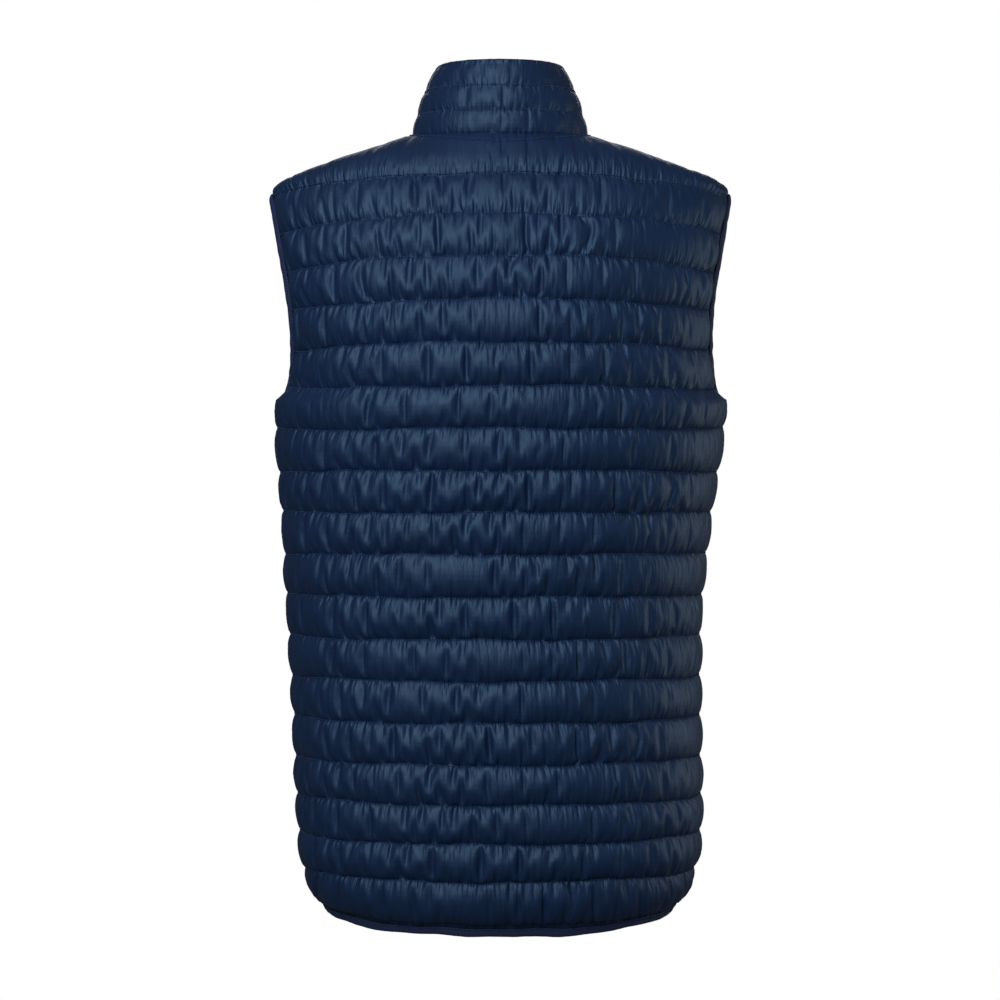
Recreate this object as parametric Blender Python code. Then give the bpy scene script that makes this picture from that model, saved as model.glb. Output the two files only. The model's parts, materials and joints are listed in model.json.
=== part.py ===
"""Quilted stand-collar vest, filled out and hollow as when worn.

Metres, +Z up. The wearer faces -Y, so the wearer's left is +X. The origin lies midway between the neck ends
of the two shoulder seams, where the wearer's shoulders hold the vest up.
"""
import math

import bmesh
import bpy
import numpy as np
from mathutils import Matrix, Vector

# Driving dimensions of the quilting
QUILT_PITCH = 0.0356
QUILT_LINES = 18
FIRST_QUILT_Z = -0.0443
BAFFLE_STEPS = (0.0, 0.22, 0.5, 0.78)
WALL = 0.0024
EDGE_WALL = 0.0014
BODY_PUFF = 0.0058
COLLAR_PUFF = 0.0034
TOP_CROWN = 0.3
TOP_FADE = 0.35
SIDE_SEAM_FILL = 0.6

# Gaps and edges
SEAM_GAP = 0.0003
EDGE_STRIP = 0.0075
BINDING_GAP = 0.0009
BINDING_CLOTH = 0.0010
BINDING_COVER = 0.82
BINDING_TURNS = {"underarm": (0.2, 0.6, 1.5), "shoulder": (2.5, 1.5, 0.5)}
SHARP_EDGE_DEGREES = 38

# Body rings at the quilting lines: half width, and depth behind and before the middle plane
RING_POWER = 2.15
RING_POINTS = 160
TANGENT_STEP = 0.004
LEAST_CROSSING = 0.6
RINGS = [
    # level, half_width, back_depth, front_depth
    (-0.700, 0.1410, 0.0980, 0.1110),
    (-0.685, 0.1520, 0.1050, 0.1170),
    (-0.665, 0.1640, 0.1115, 0.1230),
    (-0.640, 0.1715, 0.1150, 0.1265),
    (-0.600, 0.1745, 0.1170, 0.1285),
    (-0.520, 0.1760, 0.1185, 0.1310),
    (-0.430, 0.1785, 0.1205, 0.1340),
    (-0.330, 0.1860, 0.1265, 0.1370),
    (-0.239, 0.1955, 0.1310, 0.1365),
    (-0.160, 0.1900, 0.1310, 0.1235),
    (-0.115, 0.1900, 0.1255, 0.1050),
    (-0.080, 0.1920, 0.1150, 0.0840),
    (-0.044, 0.1950, 0.0950, 0.0600),
]
SHOULDER_DROOP = 0.0145
DROOP_START_Z = -0.330
DROOP_POWER = 1.6
# Height of the hem at the middle, and how far it sinks from there to the side seam
HEM_EDGE = {"back": (-0.6970, -0.0130), "front": (-0.6770, 0.0070)}
# How steeply the panels meet the shoulder seam, and the back the neck seam
SHOULDER_RISE = 0.12
NECK_RISE = 0.75
OUTWARD_TIP = 0.06

# Armhole edge, from the underarm to the shoulder tip
UNDERARM = (0.1955, -0.2390)
SHOULDER_TIP = (0.2030, -0.0540)
ARMHOLE_PINCH = 0.0155
ARMHOLE_DEPTH = {"back": 0.046, "front": 0.055}
ARMHOLE_ROUNDNESS = 0.55
ARMHOLE_PINCH_LOW = 0.65

# Neck seam and collar
NECK_HALF = 0.0755
NECK_SIDE_Y = 0.004
NECK_SIDE_Z = -0.004
NECK_BACK = (0.068, -0.007)
NECK_FRONT_Y = -0.084
NECK_FRONT_RISE = 1.2
COLLAR_BAFFLES = 3
COLLAR_TOP_HALF = 0.0555
COLLAR_TOP_BACK_Y = 0.0560
COLLAR_TOP_FRONT_Y = -0.0865
COLLAR_TOP_Z = {"back": 0.0580, "side": 0.0605, "front": -0.0080}
COLLAR_BOW = 0.0035
COLLAR_TOP_EDGE_FILL = 0.35

# Zip along the centre front
ZIP_HALF_GAP = 0.0070
TAPE_UNDERLAP = 0.0040
TAPE_THICKNESS = 0.0010
TAPE_GAP = 0.0006
CHAIN_HALF_WIDTH = 0.0026
CHAIN_THICKNESS = 0.0020
TAPE_MIDDLE_GAP = 0.0004
TAPE_POST_GAP = 0.0019
TAPE_END_GAP = 0.0015
CHAIN_END_GAP = 0.0005
ZIP_FIRST_ROW = 3
ZIP_BODY_STATIONS = 36
ZIP_COLLAR_STATIONS = 5
ZIP_BOX_LENGTH = 0.008
ZIP_BOX_HALF_WIDTH = 0.0036
ZIP_BOX_THICKNESS = 0.0026
SLIDER_BELOW_TOP = 0.012
SLIDER_HALF_WIDTH = 0.0044
SLIDER_HALF_LENGTH = 0.0060
SLIDER_PLATE = 0.0013
POST_HALF_WIDTH = 0.0012
POST_LOW = 0.0030
POST_HIGH = 0.0056
BRIDGE_HALF_WIDTH = 0.0011
BRIDGE_HALF_LENGTH = 0.0034
BRIDGE_BEAM = 0.0011
BRIDGE_CLEAR = 0.0016
BAR_RADIUS = 0.0005
PULL_HALF_WIDTH = 0.0029
PULL_HALF_THICKNESS = 0.0007
PULL_STEP = 0.0001
PULL_ARM_TOP = 0.00035
PULL_WINDOW_HALF = 0.0016
PULL_WINDOW_LENGTH = 0.0052
PULL_LENGTH = 0.027

# Columns of each panel, as shares of the way from the middle to the edge strip
BACK_NECK_COLUMNS = 5
BACK_NECK_SHARE = 0.455
BACK_SHOULDER_SHARES = (0.56, 0.665, 0.77, 0.875, 0.965)
FRONT_SHARES = (0.0, 0.035, 0.14, 0.26, 0.38, 0.50, 0.62, 0.74, 0.86, 0.96)
BACK_TOP_STEPS = (0.1, 0.3, 0.55, 0.78, 0.92, 1.0)
FRONT_TOP_STEPS = ((0.25, 0.5, 0.75, 1.0), (0.25, 0.5, 0.75, 0.92, 1.0))
UNDERARM_EXTRA_ROW = 0.0032
FRONT_PARTS = ("hem", "waist", "chest", "shoulder")
FRONT_SPLIT_LINES = (13, 8, 3)

# Mirrors points of the wearer's left to the right
TO_THE_RIGHT = np.array([-1.0, 1.0, 1.0])

NAVY_SHELL = (0.012, 0.026, 0.075, 1.0)
NAVY_ELASTIC = (0.009, 0.019, 0.058, 1.0)
NAVY_TAPE = (0.010, 0.021, 0.060, 1.0)
ZIP_RESIN = (0.012, 0.022, 0.055, 1.0)
PAINTED_METAL = (0.015, 0.025, 0.060, 1.0)


def smooth_lookup(table, column, level):
    """A column of a table at a level, on a cubic through the rows."""
    levels = np.array([row[0] for row in table])
    values = np.array([row[column] for row in table])
    slopes = np.gradient(values, levels)
    k = int(np.clip(np.searchsorted(levels, level) - 1, 0, len(levels) - 2))
    span = levels[k + 1] - levels[k]
    t = (level - levels[k]) / span
    start = (2 * t**3 - 3 * t**2 + 1) * values[k] + (t**3 - 2 * t**2 + t) * span * slopes[k]
    end = (3 * t**2 - 2 * t**3) * values[k + 1] + (t**3 - t**2) * span * slopes[k + 1]
    return start + end


def unit(vectors):
    vectors = np.asarray(vectors, float)
    return vectors / np.linalg.norm(vectors, axis=-1, keepdims=True)


def quilt_level(line):
    return FIRST_QUILT_Z - QUILT_PITCH * line


def baffle_profile(share, end_fill=0.0):
    """Height of a baffle's skin, from 0 at its seams to 1 at its crown."""
    crown = math.sqrt(max(0.0, 1.0 - (2.0 * share - 1.0) ** 2))
    return max(crown, end_fill * share)


def top_profile(share):
    """The same for the wide baffle under the neck and shoulder seams, fullest near its quilting line."""
    if share < TOP_CROWN:
        return baffle_profile(share / TOP_CROWN / 2)
    return max(0.0, 1.0 - ((share - TOP_CROWN) / (1.0 - TOP_CROWN)) ** 2) * (1.0 - TOP_FADE * share)


def droop(level):
    """How far a quilting line has sunk where it reaches the armhole."""
    reach = (level - DROOP_START_Z) / (FIRST_QUILT_Z - DROOP_START_Z)
    return SHOULDER_DROOP * max(0.0, reach) ** DROOP_POWER


def hem_share(level):
    """How far a level is down the lowest baffle, from its quilting line to the hem binding's stitches."""
    high, low = quilt_level(QUILT_LINES - 1), HEM_EDGE["back"][0] + EDGE_STRIP
    return float(np.clip((high - level) / (high - low), 0.0, 1.0))


def armhole_edge(side, z):
    """Point of the left armhole's edge at a height, on the back or the front panel."""
    share = np.clip((z - UNDERARM[1]) / (SHOULDER_TIP[1] - UNDERARM[1]), 0.0, 1.0)
    wave = math.sin(math.pi * share)
    pinch = ARMHOLE_PINCH * math.sin(math.pi * share**ARMHOLE_PINCH_LOW)
    x = UNDERARM[0] + (SHOULDER_TIP[0] - UNDERARM[0]) * share - pinch
    y = ARMHOLE_DEPTH[side] * max(wave, 0.0) ** ARMHOLE_ROUNDNESS
    return np.array([x, y if side == "back" else -y, z])


def ring_curve(side, level, edge_z, first_x):
    """Fine points of a half ring at a level, from the middle to its edge, with their heights left at zero."""
    column = 2 if side == "back" else 3
    depth = smooth_lookup(RINGS, column, level)
    if edge_z > UNDERARM[1]:
        edge = armhole_edge(side, edge_z)
        end = math.acos(min(1.0, (abs(edge[1]) / depth) ** (RING_POWER / 2)))
        half_width = edge[0] / math.sin(end) ** (2 / RING_POWER)
    else:
        end = math.pi / 2
        half_width = smooth_lookup(RINGS, 1, edge_z)
    begin = math.asin((first_x / half_width) ** (RING_POWER / 2)) if first_x else 0.0
    angles = np.linspace(begin, end, RING_POINTS)
    x = half_width * np.sin(angles) ** (2 / RING_POWER)
    y = depth * np.clip(np.cos(angles), 0, 1) ** (2 / RING_POWER)
    return np.stack([x, y if side == "back" else -y, np.zeros_like(x)], axis=1)


def along(curve, distances):
    """Points of a polyline at these distances from its start."""
    steps = np.linalg.norm(np.diff(curve, axis=0), axis=1)
    run = np.concatenate([[0.0], np.cumsum(steps)])
    return np.stack([np.interp(distances, run, curve[:, k]) for k in range(3)], axis=1)


def at_run(points, run, distance):
    """A row of points, or of normals, read at a distance along the path it follows."""
    return np.array([np.interp(distance, run, points[:, k]) for k in range(3)])


def length_of(curve):
    return float(np.linalg.norm(np.diff(curve, axis=0), axis=1).sum())


def ring_row(side, level, sink, shares, first_x):
    """One row of a panel: points at shares of the way to the edge strip, then the edge itself."""
    edge_z = level - sink
    curve = ring_curve(side, level, edge_z, first_x)
    strip = EDGE_STRIP
    if edge_z > UNDERARM[1] - 1e-6:
        ahead, behind = (armhole_edge(side, edge_z + TANGENT_STEP * share) for share in (1.0, 0.125))
        across = np.linalg.norm(np.cross(unit(ahead - behind), unit(curve[-1] - curve[-2])))
        strip = EDGE_STRIP / max(across, LEAST_CROSSING)
    reach = length_of(curve)
    distances = np.append(np.array(shares) * (reach - strip), reach)
    row = along(curve, distances)
    row[:, 2] = level - sink * (distances / reach) ** 2
    return row


def neck_back(share):
    """Back neck seam, from the centre back to the shoulder seam."""
    angle = share * math.pi / 2
    y = NECK_SIDE_Y + (NECK_BACK[0] - NECK_SIDE_Y) * math.cos(angle)
    z = NECK_SIDE_Z + (NECK_BACK[1] - NECK_SIDE_Z) * math.cos(angle) ** 2
    return np.array([NECK_HALF * math.sin(angle), y, z])


def neck_front(share):
    """Front neck seam, from the zip to the shoulder seam."""
    low = quilt_level(1)
    angle = (1 - (1 - share) ** (1 / NECK_FRONT_RISE)) * math.pi / 2
    x = ZIP_HALF_GAP + (NECK_HALF - ZIP_HALF_GAP) * math.sin(angle)
    y = NECK_SIDE_Y + (NECK_FRONT_Y - NECK_SIDE_Y) * math.cos(angle)
    return np.array([x, y, low + (NECK_SIDE_Z - low) * share])


def shoulder_seam(share):
    """Straight shoulder seam from the neck to the shoulder tip."""
    neck = np.array([NECK_HALF, NECK_SIDE_Y, NECK_SIDE_Z])
    tip = np.array([SHOULDER_TIP[0], 0.0, SHOULDER_TIP[1]])
    return neck + (tip - neck) * share


def shoulder_normal():
    run = shoulder_seam(1.0) - shoulder_seam(0.0)
    return unit(np.array([-run[2], 0.0, run[0]]))


def hermite(start, end, leave, arrive, t):
    return (
        (2 * t**3 - 3 * t**2 + 1) * start
        + (t**3 - 2 * t**2 + t) * leave
        + (3 * t**2 - 2 * t**3) * end
        + (t**3 - t**2) * arrive
    )


def body_levels():
    """Rows from the hem to the top quilting line: level, baffle profile, and whether the inside keeps it."""
    rows = []
    stitch = HEM_EDGE["back"][0] + EDGE_STRIP
    lines = [stitch] + [quilt_level(k) for k in range(QUILT_LINES - 1, -1, -1)]
    for low, high in zip(lines, lines[1:]):
        for share in BAFFLE_STEPS:
            rows.append([low + share * (high - low), baffle_profile(share), share == 0.0])
    rows.append([lines[-1], 0.0, True])
    middle = [k for k, row in enumerate(rows) if not row[2]]
    nearest = min(middle, key=lambda k: abs(rows[k][0] - droop(rows[k][0]) - UNDERARM[1]))
    level = UNDERARM[1]
    for _ in range(12):
        level = UNDERARM[1] + droop(level)
    rows[nearest][0] = level
    low = max(line for line in lines if line < level)
    share = (level + UNDERARM_EXTRA_ROW - low) / QUILT_PITCH
    rows.insert(nearest + 1, [level + UNDERARM_EXTRA_ROW, baffle_profile(share), False])
    return rows, nearest


def top_tangents(side, row, level, shares, first_x, ends):
    """Tangents that carry a panel from its top ring up and over to the shoulder seam and neck."""
    lower = level - TANGENT_STEP
    below = ring_row(side, lower, droop(lower), shares, first_x)
    reach = np.linalg.norm(ends - row, axis=1)[:, None]
    leave = unit(row - below) * reach
    toward = -1.0 if side == "back" else 1.0
    neck_part = np.clip(1.0 - np.append(shares, 1.0) / BACK_NECK_SHARE, 0.0, 1.0)
    rise = SHOULDER_RISE + (NECK_RISE if side == "back" else 0.0) * neck_part
    arrive = np.stack([np.zeros(len(row)), np.full(len(row), toward), rise], axis=1)
    return leave, unit(arrive) * reach


def back_half():
    """Grid of the back's left half: rows from hem to shoulder, columns from the centre to the armhole."""
    neck_shares = np.linspace(0.0, 1.0, BACK_NECK_COLUMNS + 1)
    shares = np.concatenate([neck_shares * BACK_NECK_SHARE, BACK_SHOULDER_SHARES, [1.0]])
    levels, underarm = body_levels()
    grid, profile, kept = [], [], []
    edge_z, edge_sink = HEM_EDGE["back"]
    grid.append(ring_row("back", edge_z, edge_sink, shares, 0.0))
    profile.append(0.0)
    kept.append(True)
    for level, height, keep in levels:
        sink = droop(level) + edge_sink * hem_share(level)
        grid.append(ring_row("back", level, sink, shares, 0.0))
        profile.append(height)
        kept.append(keep)
    seam_shares = (np.append(shares[BACK_NECK_COLUMNS + 1 :], 1.0) - BACK_NECK_SHARE) / (1 - BACK_NECK_SHARE)
    strip = EDGE_STRIP / length_of(np.array([shoulder_seam(0.0), shoulder_seam(1.0)]))
    seam_shares = seam_shares * (1 - strip)
    seam_shares[-1] = 1.0
    ends = np.array([neck_back(u) for u in neck_shares] + [shoulder_seam(u) for u in seam_shares])
    last = grid[-1]
    leave, arrive = top_tangents("back", last, levels[-1][0], shares, 0.0, ends)
    edge_low = last[-1, 2]
    for t in BACK_TOP_STEPS:
        row = hermite(last, ends, leave, arrive, t)
        edge = armhole_edge("back", edge_low + (SHOULDER_TIP[1] - edge_low) * t)
        weight = np.append(shares, 1.0)[:, None] ** 4
        row = row + weight * (edge - row[-1])
        grid.append(ends if t == 1.0 else row)
        profile.append(top_profile(t))
        kept.append(t == 1.0)
    return np.array(grid), np.array(profile), np.array(kept), underarm + 1


def front_half():
    """Grid of the left front: rows from hem to shoulder, columns from the zip and neck to the armhole."""
    shares = np.append(FRONT_SHARES, 1.0)
    levels, underarm = body_levels()
    levels = [row for row in levels if row[0] <= quilt_level(1) + 1e-9]
    grid, profile, kept = [], [], []
    edge_z, edge_sink = HEM_EDGE["front"]
    grid.append(ring_row("front", edge_z, edge_sink, shares, ZIP_HALF_GAP))
    profile.append(0.0)
    kept.append(True)
    front_lift = edge_z - HEM_EDGE["back"][0]
    for level, height, keep in levels:
        sink = droop(level) + edge_sink * hem_share(level)
        grid.append(ring_row("front", level + front_lift * hem_share(level), sink, shares, ZIP_HALF_GAP))
        profile.append(height)
        kept.append(keep)
    strip = EDGE_STRIP / length_of(np.array([shoulder_seam(0.0), shoulder_seam(1.0)]))
    seam_shares = np.append(shares * (1 - strip), 1.0)
    ends = np.array([shoulder_seam(u) for u in seam_shares])
    last = grid[-1]
    leave, arrive = top_tangents("front", last, levels[-1][0], shares, ZIP_HALF_GAP, ends)
    edge_low = last[-1, 2]
    for baffle, steps in enumerate(FRONT_TOP_STEPS):
        for step in steps:
            t = (baffle + step) / 2
            row = hermite(last, ends, leave, arrive, t)
            right = armhole_edge("front", edge_low + (SHOULDER_TIP[1] - edge_low) * t) - row[-1]
            left = neck_front(t) - row[0]
            reach = np.append(shares, 1.0)[:, None]
            row = row + reach**4 * right + (1 - reach) ** 2 * left
            grid.append(ends if t == 1.0 else row)
            profile.append(baffle_profile(step))
            kept.append(step == 1.0)
    return np.array(grid), np.array(profile), np.array(kept), underarm + 1, len(levels)


def collar_top(share):
    """Top edge of the collar's left half, from the centre back to the zip."""
    end = math.pi - math.asin(ZIP_HALF_GAP / COLLAR_TOP_HALF)
    angle = share * end
    middle = (COLLAR_TOP_BACK_Y + COLLAR_TOP_FRONT_Y) / 2
    reach = (COLLAR_TOP_BACK_Y - COLLAR_TOP_FRONT_Y) / 2
    top = COLLAR_TOP_Z
    if angle < math.pi / 2:
        z = top["back"] + (top["side"] - top["back"]) * math.sin(angle) ** 2
    else:
        z = top["front"] + (top["side"] - top["front"]) * math.sin(angle) ** 2
    return np.array([COLLAR_TOP_HALF * math.sin(angle), middle + reach * math.cos(angle), z])


def collar_half(back, front, front_neck_row):
    """Grid of the collar's left half: rows from the neck seam up, columns from the centre back to the zip."""
    base = np.concatenate([back[-1, : BACK_NECK_COLUMNS + 1], front[front_neck_row:-1, 0][::-1]])
    run = np.concatenate([[0.0], np.cumsum(np.linalg.norm(np.diff(base, axis=0), axis=1))])
    top = np.array([collar_top(share) for share in run / run[-1]])
    away = base - np.array([0.0, (NECK_BACK[0] + NECK_FRONT_Y) / 2, 0.0])
    away[:, 2] = 0.0
    away = unit(away)
    shares, profile, kept = [0.0], [0.0], [True]
    for baffle in range(COLLAR_BAFFLES):
        last = baffle == COLLAR_BAFFLES - 1
        for step in BAFFLE_STEPS[1:] + (1.0,):
            shares.append((baffle + step) / COLLAR_BAFFLES)
            profile.append(baffle_profile(step, COLLAR_TOP_EDGE_FILL if last else 0.0))
            kept.append(step == 1.0)
    rows = [base + (top - base) * v + away * COLLAR_BOW * math.sin(math.pi * v) for v in shares]
    return np.array(rows), np.array(profile), np.array(kept)


def grid_normals(grid, outward):
    """Unit normals of a grid, on the side that the outward hint points to."""
    rise = np.gradient(grid, axis=0)
    across = np.gradient(grid, axis=1)
    normals = unit(np.cross(across, rise))
    flip = np.sign(np.sum(normals * outward, axis=-1, keepdims=True))
    return normals * np.where(flip == 0, 1.0, flip)


def outward_hint(grid):
    """Directions away from an upright line through the body's middle, tipped up."""
    hint = grid.copy()
    hint[..., 2] = OUTWARD_TIP
    return hint


def pull_in(points, row=None, column=None):
    """Draws one edge of a grid back by half the seam gap."""
    half = SEAM_GAP / 2
    if row is not None:
        neighbour = points[row + 1] if row == 0 else points[row - 1]
        points[row] += unit(neighbour - points[row]) * half
    if column is not None:
        neighbour = points[:, column + 1] if column == 0 else points[:, column - 1]
        points[:, column] += unit(neighbour - points[:, column]) * half


def front_parts(kept):
    """Names and rows of the parts that a front is divided into, so that its hulls follow its curved wall."""
    stops = np.flatnonzero(kept)
    splits = [stops[QUILT_LINES + 1 - line] for line in FRONT_SPLIT_LINES]
    ends = [0] + splits + [len(kept) - 1]
    return [(part, slice(low, high + 1)) for part, low, high in zip(FRONT_PARTS, ends, ends[1:])]


def divided(grid, rows):
    """The rows of one part, drawn back from the parts above and below it."""
    part = grid[rows].copy()
    if rows.start > 0:
        pull_in(part, row=0)
    if rows.stop < len(grid):
        pull_in(part, row=len(part) - 1)
    return part


def mirrored(half):
    """A half grid joined to its mirror image across the middle plane."""
    return np.concatenate([half[:, :0:-1] * TO_THE_RIGHT, half], axis=1)


def wall_mesh(name, inner, outer, kept, material):
    """Closed wall between a full outer grid and an inner one that keeps few rows between its side strips."""
    rows, columns = outer.shape[:2]
    last = columns - 1
    strips = (0, 1, last - 1, last)
    points, faces, outer_id, inner_id = [], [], {}, {}
    for j in range(rows):
        for i in range(columns):
            outer_id[j, i] = len(points)
            points.append(outer[j, i])
            if kept[j] or i in strips:
                inner_id[j, i] = len(points)
                points.append(inner[j, i])
    for j in range(rows - 1):
        for i in range(last):
            faces.append((outer_id[j, i], outer_id[j, i + 1], outer_id[j + 1, i + 1], outer_id[j + 1, i]))
        for i in (0, last - 1):
            faces.append((inner_id[j, i], inner_id[j, i + 1], inner_id[j + 1, i + 1], inner_id[j + 1, i]))
        for i in (0, last):
            faces.append((outer_id[j, i], outer_id[j + 1, i], inner_id[j + 1, i], inner_id[j, i]))
    for j in (0, rows - 1):
        for i in range(last):
            faces.append((outer_id[j, i], outer_id[j, i + 1], inner_id[j, i + 1], inner_id[j, i]))
    stops = np.flatnonzero(kept)
    for low, high in zip(stops, stops[1:]):
        for i in range(2, last - 2):
            faces.append((inner_id[low, i], inner_id[high, i], inner_id[high, i + 1], inner_id[low, i + 1]))
        for side, beside in ((1, 2), (last - 1, last - 2)):
            turn = (low + high) // 2
            faces.append((inner_id[low, beside], inner_id[turn, side], inner_id[high, beside]))
            for j in range(low, high):
                near = inner_id[low, beside] if j < turn else inner_id[high, beside]
                faces.append((near, inner_id[j, side], inner_id[j + 1, side]))
    return add_mesh(name, points, faces, material)


def add_mesh(name, points, faces, material):
    """Adds a named object with its faces turned outwards."""
    mesh = bpy.data.meshes.new(name)
    mesh.from_pydata([tuple(p) for p in points], [], faces)
    shape = bmesh.new()
    shape.from_mesh(mesh)
    bmesh.ops.recalc_face_normals(shape, faces=shape.faces)
    shape.to_mesh(mesh)
    shape.free()
    mesh.shade_smooth()
    mesh.set_sharp_from_angle(angle=math.radians(SHARP_EDGE_DEGREES))
    obj = bpy.data.objects.new(name, mesh)
    bpy.context.collection.objects.link(obj)
    mesh.materials.append(material)
    return obj


def swept(name, sections, closed, material):
    """Solid through a list of sections with the same number of corners."""
    count, corners = len(sections), len(sections[0])
    points = [p for section in sections for p in section]
    faces = []
    for k in range(count if closed else count - 1):
        following = (k + 1) % count
        for c in range(corners):
            after = (c + 1) % corners
            near, far = k * corners, following * corners
            faces.append((near + c, near + after, far + after, far + c))
    if not closed:
        faces.append(tuple(range(corners)))
        faces.append(tuple((count - 1) * corners + c for c in range(corners)))
    return add_mesh(name, points, faces, material)


def binding_section(inner_edge, inner_stitch, outer_edge, outer_stitch):
    """Folded strip of elastic around a panel's edge, as eight corners."""
    out = unit(inner_edge - inner_stitch)
    gap, far = BINDING_GAP, BINDING_GAP + BINDING_CLOTH
    inner_end = inner_edge + BINDING_COVER * (inner_stitch - inner_edge)
    outer_end = outer_edge + BINDING_COVER * (outer_stitch - outer_edge)
    normal, end_normal = unit(outer_edge - inner_edge), unit(outer_end - inner_end)
    return [
        inner_end - end_normal * gap,
        inner_edge + out * gap - normal * gap,
        outer_edge + out * gap + normal * gap,
        outer_end + end_normal * gap,
        outer_end + end_normal * far,
        outer_edge + out * far + normal * far,
        inner_edge + out * far - normal * far,
        inner_end - end_normal * far,
    ]


def underarm_section(inner, outer, underarm):
    """The armhole binding where it crosses the side seam, its arms pointing down the seam."""
    down = unit(inner[underarm - 1, -1] - inner[underarm, -1]) * EDGE_STRIP
    inner_edge, outer_edge = inner[underarm, -1], outer[underarm, -1]
    return binding_section(inner_edge, inner_edge + down, outer_edge, outer_edge + down)


def armhole_sections(inner, outer, underarm):
    """The armhole binding up one panel's edge, closer together where the edge turns."""
    top = inner.shape[0] - 1
    turns = [underarm + step for step in BINDING_TURNS["underarm"]]
    turns += [top - step for step in BINDING_TURNS["shoulder"]]
    stops = sorted(turns + list(range(underarm + 1, top + 1)))
    sections = []
    for stop in stops:
        low = min(int(stop), top - 1)
        blend = [grid[low] + (grid[low + 1] - grid[low]) * (stop - low) for grid in (inner, outer)]
        sections.append(binding_section(blend[0][-1], blend[0][-2], blend[1][-1], blend[1][-2]))
    return sections


def flipped(sections):
    """Sections mirrored to the wearer's right."""
    return [[p * TO_THE_RIGHT for p in section] for section in sections]


def material(name, colour, roughness, metallic=0.0):
    made = bpy.data.materials.new(name)
    made.use_nodes = True
    shader = made.node_tree.nodes["Principled BSDF"]
    shader.inputs["Base Color"].default_value = colour
    shader.inputs["Roughness"].default_value = roughness
    shader.inputs["Metallic"].default_value = metallic
    return made


def set_seam_normals(back, front, collar, front_neck_row, underarm):
    """Gives pieces that meet at a seam one shared normal there, so that their walls are mitred."""
    for normals in (back, front):
        normals[: underarm + 1, -1, 1] = 0.0
    back[-1, BACK_NECK_COLUMNS:] = shoulder_normal()
    front[-1] = shoulder_normal()
    back[:, 0, 0] = 0.0
    collar[:, 0, 0] = 0.0
    for normals in (back, front, collar):
        normals[:] = unit(normals)
    back_part = unit(collar[0, : BACK_NECK_COLUMNS + 1] + back[-1, : BACK_NECK_COLUMNS + 1])
    back[-1, : BACK_NECK_COLUMNS + 1] = back_part
    collar[0, : BACK_NECK_COLUMNS + 1] = back_part
    front_part = unit(collar[0, BACK_NECK_COLUMNS:] + front[front_neck_row:, 0][::-1])
    front_part[0] = back_part[-1]
    front[front_neck_row:, 0] = front_part[::-1]
    collar[0, BACK_NECK_COLUMNS:] = front_part


def edge_weights(rows, columns, underarm, left_edge):
    """Where the fill lies: none at the seams and edge strips, all of it inside the panel."""
    weights = np.ones((rows, columns))
    weights[:, -1] = 0.0
    weights[underarm - 1 :, -2] = 0.0
    weights[: underarm - 1, -2] = SIDE_SEAM_FILL
    weights[:2] = 0.0
    if left_edge:
        weights[:, 0] = 0.0
    return weights


def edge_walls(rows, columns, underarm):
    """Thickness of the cloth at the seams, pressed thinner where a binding grips it."""
    walls = np.full((rows, columns), WALL)
    walls[:2] = EDGE_WALL
    walls[underarm:, -2:] = EDGE_WALL
    return walls


def zip_path(front, front_normals, collar, collar_normals, neck_row):
    """Inner points up the zip's edge from hem to collar top, the column beside it, and their normals."""
    rows = slice(ZIP_FIRST_ROW, neck_row + 1)
    pairs = ((front, collar, 0, -1), (front, collar, 1, -2))
    pairs += ((front_normals, collar_normals, 0, -1), (front_normals, collar_normals, 1, -2))
    return [np.concatenate([low[rows, i], high[1:, k]]) for low, high, i, k in pairs]


def middle_of(points):
    """Points moved across to the middle plane."""
    return points * np.array([0.0, 1.0, 1.0])


def tape_sections(path, run, stations, chain_end):
    """One zip tape, lying inside the front's edge and reaching to the middle."""
    sections = []
    near, far = TAPE_GAP, TAPE_GAP + TAPE_THICKNESS
    for station in stations:
        edge, beside, normal, beside_normal = (at_run(points, run, station) for points in path)
        inset = TAPE_MIDDLE_GAP if station <= chain_end else TAPE_POST_GAP
        centre = middle_of(edge) + np.array([inset, 0.0, 0.0])
        lap = edge + unit(beside - edge) * TAPE_UNDERLAP
        middle_normal = unit(middle_of(normal))
        normal, beside_normal = unit(normal), unit(beside_normal)
        sections.append([
            centre - middle_normal * near,
            edge - normal * near,
            lap - beside_normal * (near + TAPE_GAP),
            lap - beside_normal * (far + TAPE_GAP),
            edge - normal * far,
            centre - middle_normal * far,
        ])
    return sections


def chain_sections(path, run, stations):
    """The closed zip's teeth as one strip over the two tapes."""
    sections = []
    side = np.array([CHAIN_HALF_WIDTH, 0.0, 0.0])
    for station in stations:
        low = middle_of(at_run(path[0], run, station))
        high = low + unit(middle_of(at_run(path[2], run, station))) * CHAIN_THICKNESS
        sections.append([low - side, low + side, high + side, high - side])
    return sections


def box(low, high):
    """Corners and faces of an upright box."""
    xs, ys, zs = zip(low, high)
    corners = [(x, y, z) for z in zs for y in ys for x in xs]
    faces = [(0, 2, 3, 1), (4, 5, 7, 6), (0, 1, 5, 4), (2, 6, 7, 3), (0, 4, 6, 2), (1, 3, 7, 5)]
    return corners, faces


def unite(whole, other, frame):
    """Adds another solid to a whole, and hides it."""
    join = whole.modifiers.new("join", "BOOLEAN")
    join.operation = "UNION"
    join.solver = "EXACT"
    join.object = other
    other.matrix_world = frame
    other.hide_render = True


def fused(name, boxes, frame, material):
    """Overlapping boxes in a local frame joined into one solid."""
    pieces = [add_mesh(f"{name}_piece", *box(low, high), material) for low, high in boxes]
    whole = pieces[0]
    whole.name = name
    whole.matrix_world = frame
    for other in pieces[1:]:
        unite(whole, other, frame)
    return whole


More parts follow.
